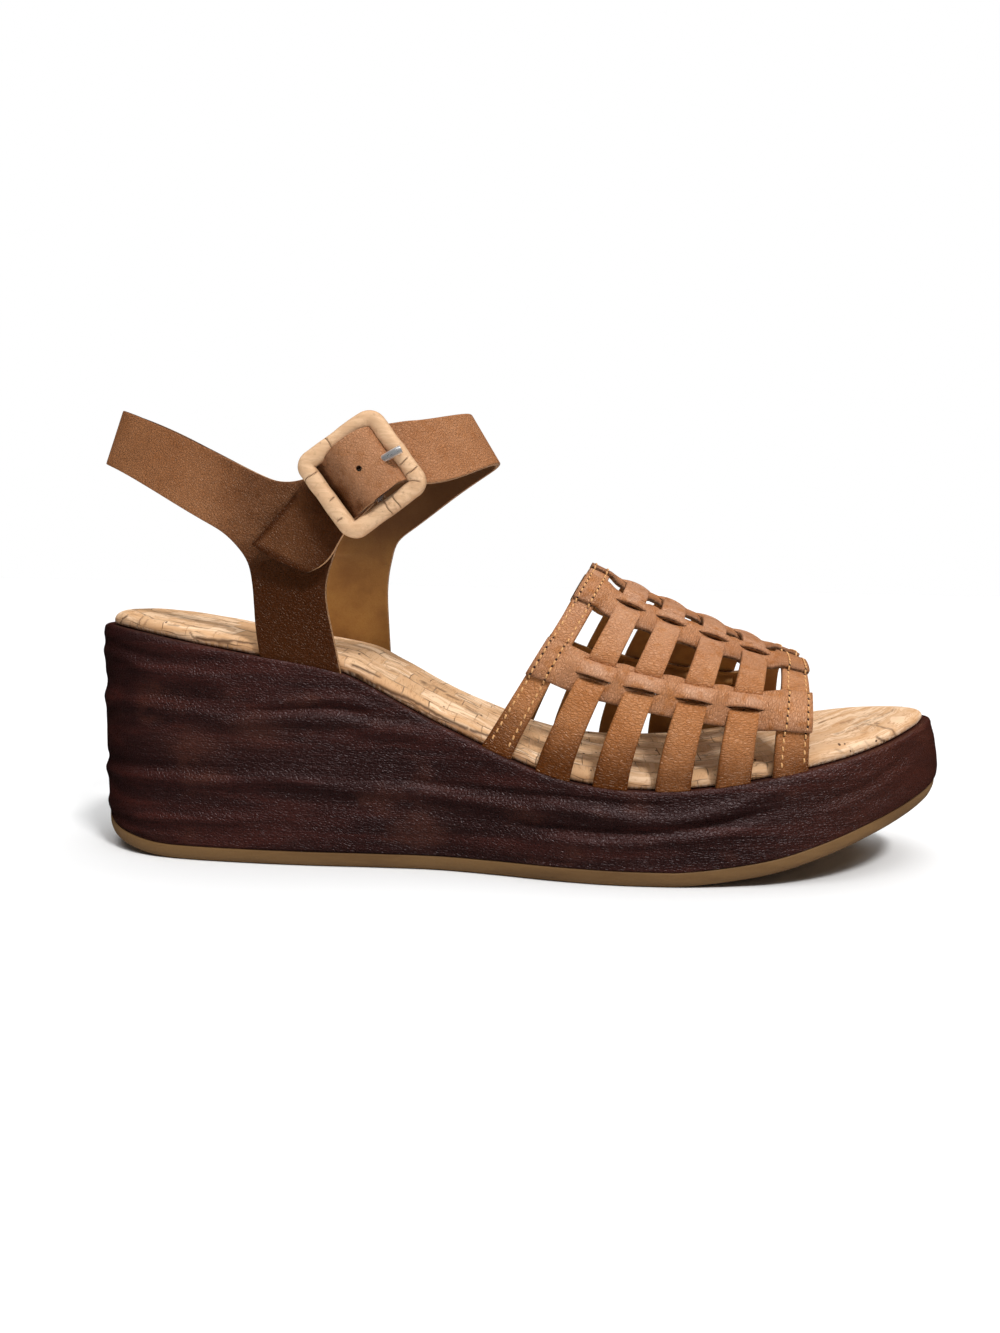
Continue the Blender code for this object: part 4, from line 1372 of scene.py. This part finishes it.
def build_vamp(loop):
    surface = VampSurface(loop)
    straps = Straps()
    for index in range(len(BANDS)):
        band_strip(surface, straps, index)
    for index in range(ROW_COUNT):
        row_strip(surface, straps, index)
    piece = straps.piece("woven_vamp", [VAMP_LEATHER, LEATHER_EDGE, LEATHER_FLESH])
    finish_piece(piece, "tan_leather", "vamp")
    build_stitching(surface)


# Ankle piece and buckle

def at_buckle(along, out, across=0.0):
    c, s = math.cos(BUCKLE_LEAN), math.sin(BUCKLE_LEAN)
    return np.array([BUCKLE_X + c * along - s * across, -out, BUCKLE_Z + s * along + c * across])


ACROSS_BUCKLE = at_buckle(0, 0, 1) - at_buckle(0, 0, 0)


def ankle_rows():
    """Centre line rows from the folded tab round the ankle to the far side of the buckle."""
    fold = BAR_RADIUS + BAR_CLEAR + TAB_HALF_THICK
    tab = list(TAB_UPPER)
    for turn in np.radians([90, 45, 0, -45, -90]):
        tab.append((fold * math.cos(turn), BAR_OUT + fold * math.sin(turn)))
    rows = [(*at_buckle(along, out), HALF_TAB) for along, out in tab]
    rows.append((*at_buckle(*TAB_LOWER), HALF_TAB_LOWER))
    arm = len(rows)
    rows += HEEL_RUN
    buckle = len(rows)
    for along, out, across in BUCKLE_RUN:
        half = HALF_IN_BUCKLE + 0.4 * float(soft_step(out, 36.5, 37.9))
        rows.append((*at_buckle(along, out, across), half))
    return rows, arm, buckle


def punch(piece, centre, axis, radius):
    """Cuts a round hole through the piece at a place in millimetres."""
    cutter_mesh = bpy.data.meshes.new("punch")
    tool = bmesh.new()
    sizes = {"radius1": radius * MM, "radius2": radius * MM, "depth": 5.0 * MM}
    bmesh.ops.create_cone(tool, cap_ends=True, segments=28, **sizes)
    tool.to_mesh(cutter_mesh)
    tool.free()
    cutter_mesh.materials.append(LEATHER_EDGE)
    cutter = add_object("punch", cutter_mesh)
    turn = Vector(axis).to_track_quat("Z", "Y").to_matrix().to_4x4()
    cutter.matrix_world = Matrix.Translation(Vector(to_scene(centre))) @ turn
    bpy.context.view_layer.update()
    modify(piece, "hole", "BOOLEAN", operation="DIFFERENCE", object=cutter)
    settle(piece)
    bpy.data.objects.remove(cutter, do_unlink=True)


def ankle_tones(points):
    """Dark and light parts of the ankle leather, partly its own tone and partly painted shade, shadow
    and highlight.

    The numbers in each soft_step are the millimetres between which a part begins or ends.
    """
    x, y, z = points.T
    outer = 1 - soft_step(y, -14.0, -6.0)
    near_leg = soft_step(x, 36.0, 60.0) * (1 - soft_step(x, 82.0, 92.0))
    leg = 1 - soft_step(z, 76.0, 92.0)
    tip = (1 - soft_step(y, -31.3, -30.7)) * (1 - soft_step(x, 82.0, 87.0))
    tip = tip * (1 - soft_step(z, 103.0, 106.0))
    in_buckle = 1 - soft_step(y, -35.0, -33.0)
    front = soft_step(x, 93.0, 101.0)
    along = (x - BUCKLE_X) * math.cos(BUCKLE_LEAN) + (z - BUCKLE_Z) * math.sin(BUCKLE_LEAN)
    # Painted shade on the part of the strap in the buckle that curves away from the light.
    buckle_shade = 0.66 - 0.50 * soft_step(along, -5.5, 1.5)
    tip_burn = 0.68 + 0.22 * soft_step(x, 66.0, 78.0)
    # Darker near and down the legs toward the sole, more on the outer side: partly burnish, partly
    # painted shade.
    burnish = 0.31 + (0.13 + 0.23 * outer) * near_leg + (0.17 + 0.39 * outer) * leg
    for amount, part in ((tip_burn, tip), (buckle_shade, in_buckle), (0.09, front)):
        burnish = mixed(burnish, amount, part)
    # Painted shadow around the left and lower edges of the strap tip.
    tip_rim = [row[2:4] for row in TIP_ROWS] + [TIP_ROWS[-1][:2]]
    rim = bell(gap_to_line(x, z, tip_rim)) * (1 - soft_step(y, -28.0, -26.0))
    burnish = mixed(burnish, 1.0, 0.85 * rim)
    back_run = np.array(HEEL_RUN[:9])[::-1]
    upper = soft_step(z - np.interp(x, back_run[:, 0], back_run[:, 2]), 0.0, 2.0) * (1 - near_leg)
    tone = 0.55 - 0.42 * upper * (1 - front)
    tone = mixed(tone, 0.95 * soft_step(x, 70.0, 78.0), tip)
    # Lighter parts: rubbed wear, and a painted highlight on the strap in the buckle.
    rub = (0.08 + 0.35 * in_buckle + 0.15 * front) * (1 - leg) * (1 - tip)
    # Painted shade on the inner side under the strap.
    shade = 0.85 * soft_step(y, -4.0, 8.0) * soft_step(z, 74.0, 99.0) * soft_step(x, 60.0, 74.0)
    return {"lay": points, "burnish": burnish, "rub": rub, "edge_tone": tone, "shade": shade}


def ankle_strap():
    """Sheet of the strap from tab to tip: points, faces and the rows where the two legs hang."""
    rows, arm, buckle = ankle_rows()
    per_span = 2
    line = smooth_path(rows, per_span)
    centre, half = line[:, :3], line[:, 3]
    along = unit(np.gradient(centre, axis=0))
    lean = np.interp(centre[:, 0], *STRAP_LEAN)
    up = np.column_stack([lean, np.zeros(len(lean)), np.ones(len(lean))])
    in_buckle = np.ones(len(line), bool)
    in_buckle[arm * per_span:buckle * per_span] = False
    up[in_buckle] = ACROSS_BUCKLE
    width = unit(up - along * np.sum(up * along, axis=1)[:, None])
    verts = []
    for point, wide, direction in zip(centre, half, width):
        verts += [point + direction * wide * share for share in STRAP_LINES]
    for right_x, right_z, left_x, left_z, bulge in TIP_ROWS:
        right, left = np.array([right_x, -TIP_OUT, right_z]), np.array([left_x, -TIP_OUT, left_z])
        for share in STRAP_LINES:
            point = mixed(right, left, (share + 1) / 2)
            verts.append(point + np.array(TIP_DOWN) * bulge * (1 - share ** 2))
    faces = grid_faces(len(line) + len(TIP_ROWS), len(STRAP_LINES))
    hangs = [range((arm + start) * per_span, (arm + stop) * per_span + 1) for start, stop in LEG_SPANS]
    return verts, faces, hangs


def add_leg(verts, faces, columns, table, floor):
    """Hangs one side leg on the lower edge of the strap, down to its feet on the sole."""
    top = [i * len(STRAP_LINES) for i in columns]
    turned = verts[top[0]][0] > verts[top[-1]][0]
    if turned:
        top.reverse()
    part = np.linspace(0.0, 1.0, len(top))
    last = top
    for k, (back_x, back_z, front_x, front_z) in enumerate(table):
        drop = (k + 1) / (len(table) + 1)
        new = range(len(verts), len(verts) + len(top))
        for t, above, below in zip(part, top, floor):
            y = mixed(verts[above][1], below[1], drop)
            verts.append(np.array([mixed(back_x, front_x, t), y, mixed(back_z, front_z, t)]))
        add_leg_row(faces, last, new, turned)
        last = new
    new = range(len(verts), len(verts) + len(top))
    verts += floor
    add_leg_row(faces, last, new, turned)


def add_leg_row(faces, above, below, turned):
    for i in range(len(below) - 1):
        quad = (above[i], above[i + 1], below[i + 1], below[i])
        faces.append(quad[::-1] if turned else quad)


def build_ankle(loop):
    verts, faces, hangs = ankle_strap()
    legs = ((OUTER_LEG, OUTER_FOOT, True), (INNER_LEG, INNER_FOOT, False))
    for columns, (table, foot, outer) in zip(hangs, legs):
        feet = np.linspace(0.0, 1.0, len(columns))
        floor = [foot_of_strap(loop, mixed(*foot, t), outer) for t in feet]
        add_leg(verts, faces, columns, table, floor)
    looks = [ANKLE_LEATHER, LEATHER_EDGE, LEATHER_FLESH]
    piece = add_piece("ankle_leather", verts, faces, looks, closed=False)
    modify(piece, "fine", "SUBSURF", levels=2, render_levels=2, boundary_smooth="PRESERVE_CORNERS")
    wall = {"thickness": ANKLE_THICK * MM, "offset": 0.0, "use_even_offset": True, "use_rim": True}
    modify(piece, "wall", "SOLIDIFY", material_offset=2, material_offset_rim=1, **wall)
    edge = {"limit_method": "ANGLE", "angle_limit": math.radians(50.0), "width": ANKLE_EDGE * MM}
    modify(piece, "soft edge", "BEVEL", segments=2, use_clamp_overlap=False, **edge)
    settle(piece)
    punch(piece, at_buckle(*VACANT_HOLE), (0.0, -1.0, 0.0), HOLE_RADIUS)
    mesh = piece.data
    points = np.empty(3 * len(mesh.vertices), np.float32)
    mesh.vertices.foreach_get("co", points)
    store_values(mesh, ankle_tones(points.reshape(-1, 3) / MM + (X_MID, Y_MID, 0.0)))
    finish_piece(piece, "tan_leather", "ankle_piece")


def frame_path():
    """Even points round the middle line of the buckle's square, and its length."""
    straight = FRAME_HALF - FRAME_CORNER
    path = []
    for quarter in np.arange(4) * math.pi / 2:
        corner = math.pi / 4 + quarter
        middle = straight * math.sqrt(2) * np.array([math.cos(corner), math.sin(corner)])
        for turn in np.radians(np.linspace(0, 90, 13)) + quarter:
            along, across = middle + FRAME_CORNER * np.array([math.cos(turn), math.sin(turn)])
            path.append(at_buckle(along, FRAME_OUT[0] + FRAME_OUT[1] * along, across))
    path = np.array([*path, path[0]])
    run = run_of(path)
    return path_at(path, run, np.linspace(0.0, run[-1], FRAME_POINTS + 1)[:-1]), run[-1]


def build_frame():
    path, length = frame_path()
    steps = 32
    verts, faces = tube(path, (0.0, 1.0, 0.0), FRAME_BAR[::-1], steps, closed=True, power=2.15)
    share = np.tile(np.arange(len(path)) / len(path), steps)
    section = np.repeat(np.arange(steps) * 360.0 / steps, len(path))
    crack = np.zeros(len(verts))
    for place, turn, reach in FRAME_CRACKS:
        bent = place + 0.0018 * np.sin(np.radians(section) * 3 + place * 40)
        near = bell(((share - bent + 0.5) % 1 - 0.5) * length / CRACK_HALF)
        faced = 1 - soft_step(np.abs((section - turn + 180) % 360 - 180), reach * 0.5, reach)
        crack = np.maximum(crack, near * faced)
    uneven = np.array([FRAME_UNEVEN * noise.noise(Vector(p * 0.22)) for p in verts])
    outward = unit(verts - np.tile(path, (steps, 1)))
    verts = verts + outward * (uneven - CRACK_DEPTH * crack)[:, None]
    none = np.zeros(len(verts))
    # Painted shade on the sides of the bar's section that turn away from the front.
    edge = 0.75 * soft_step(np.abs(section - 180.0), 40.0, 100.0)
    values = {"crack": crack, "pale_edge": none, "lay": verts, "side_shade_and_tint": edge, "blocks": none}
    piece = add_piece("buckle_cork", verts, faces, [BUCKLE_CORK], values)
    finish_piece(piece, "cork", "buckle_frame")


def build_prong():
    hook = BAR_RADIUS + BAR_CLEAR + PRONG_RADIUS
    line = []
    for turn in np.radians(np.linspace(-40, -265, 25)):
        line.append((hook * math.cos(turn), BAR_OUT + hook * math.sin(turn)))
    line += smooth_path(PRONG_RUN, 6).tolist()
    rod = [at_buckle(along, out, PRONG_SKEW * (along - 4.0)) for along, out in line]
    verts, faces = tube(rod, ACROSS_BUCKLE, (2 * PRONG_RADIUS, 2 * PRONG_RADIUS), 18, power=2.3)
    piece = add_piece("prong_steel", verts, faces, [STEEL])
    finish_piece(piece, "steel", "prong")
    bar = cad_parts["buckle_bar"]
    bar.data.materials.clear()
    bar.data.materials.append(STEEL)


# Studio

def add_sun(name, strength, angle, place, mirrored=False):
    light = bpy.data.lights.new(name, "SUN")
    light.energy = strength
    light.angle = math.radians(angle)
    lamp = add_object(name, light)
    lamp.rotation_mode = "QUATERNION"
    lamp.rotation_quaternion = Vector(place).to_track_quat("Z", "Y")
    lamp.visible_glossy = mirrored


def build_studio():
    mesh = bpy.data.meshes.new("floor")
    size = 6.0
    corners = [(-size, -size, 0), (size, -size, 0), (size, size, 0), (-size, size, 0)]
    mesh.from_pydata(corners, [], [(0, 1, 2, 3)])
    pale, second = (0.86, 0.86, 0.86), (0.84, 0.84, 0.84)
    mesh.materials.append(plain_look("pale_floor", pale, second, 0.9, 0.0, 0.004))
    floor = add_object("floor", mesh)
    floor.visible_glossy = False

    world = bpy.data.worlds.new("studio")
    bpy.context.scene.world = world
    world.use_nodes = True
    sky = world.node_tree.nodes["Background"]
    sky.inputs["Color"].default_value = (1.0, 1.0, 1.0, 1.0)
    sky.inputs["Strength"].default_value = 1.0
    world.cycles_visibility.diffuse = False
    world.cycles_visibility.glossy = False
    bpy.context.scene.view_settings.view_transform = "Standard"

    add_sun("overhead", 2.2, 80.0, (0.15, 0.05, 1.0))
    add_sun("softbox", 0.5, 45.0, (0.05, -0.45, 1.0), mirrored=True)
    add_sun("key", 1.9, 9.0, (0.40, -0.52, 1.0), mirrored=True)
    add_sun("front_fill", 0.20, 120.0, (0.1, -1.0, 0.35))
    add_sun("back_fill", 0.35, 120.0, (-0.2, 1.0, 0.5))


def build_camera():
    turn, tilt, roll = (math.radians(v) for v in (CAMERA_TURN, CAMERA_TILT, CAMERA_ROLL))
    ahead = math.cos(tilt)
    forward = Vector((-math.sin(turn) * ahead, math.cos(turn) * ahead, -math.sin(tilt)))
    level = Vector((math.cos(turn), math.sin(turn), 0.0))
    upright = level.cross(forward)
    right = level * math.cos(roll) + upright * math.sin(roll)
    up = upright * math.cos(roll) - level * math.sin(roll)
    data = bpy.data.cameras.new("camera")
    data.lens = CAMERA_LENS
    data.sensor_width = 36.0
    data.clip_start = 0.01
    camera = add_object("camera", data)
    axes = Matrix((right, up, -forward)).transposed().to_4x4()
    camera.matrix_world = Matrix.Translation(Vector(CAMERA_PLACE)) @ axes
    bpy.context.scene.camera = camera


SOLE_LOOP = sole_outline(8)
build_outsole(SOLE_LOOP)
build_wedge(SOLE_LOOP)
build_footbed(sole_outline(32))
build_vamp(SOLE_LOOP)
build_ankle(SOLE_LOOP)
build_frame()
build_prong()
build_studio()
build_camera()
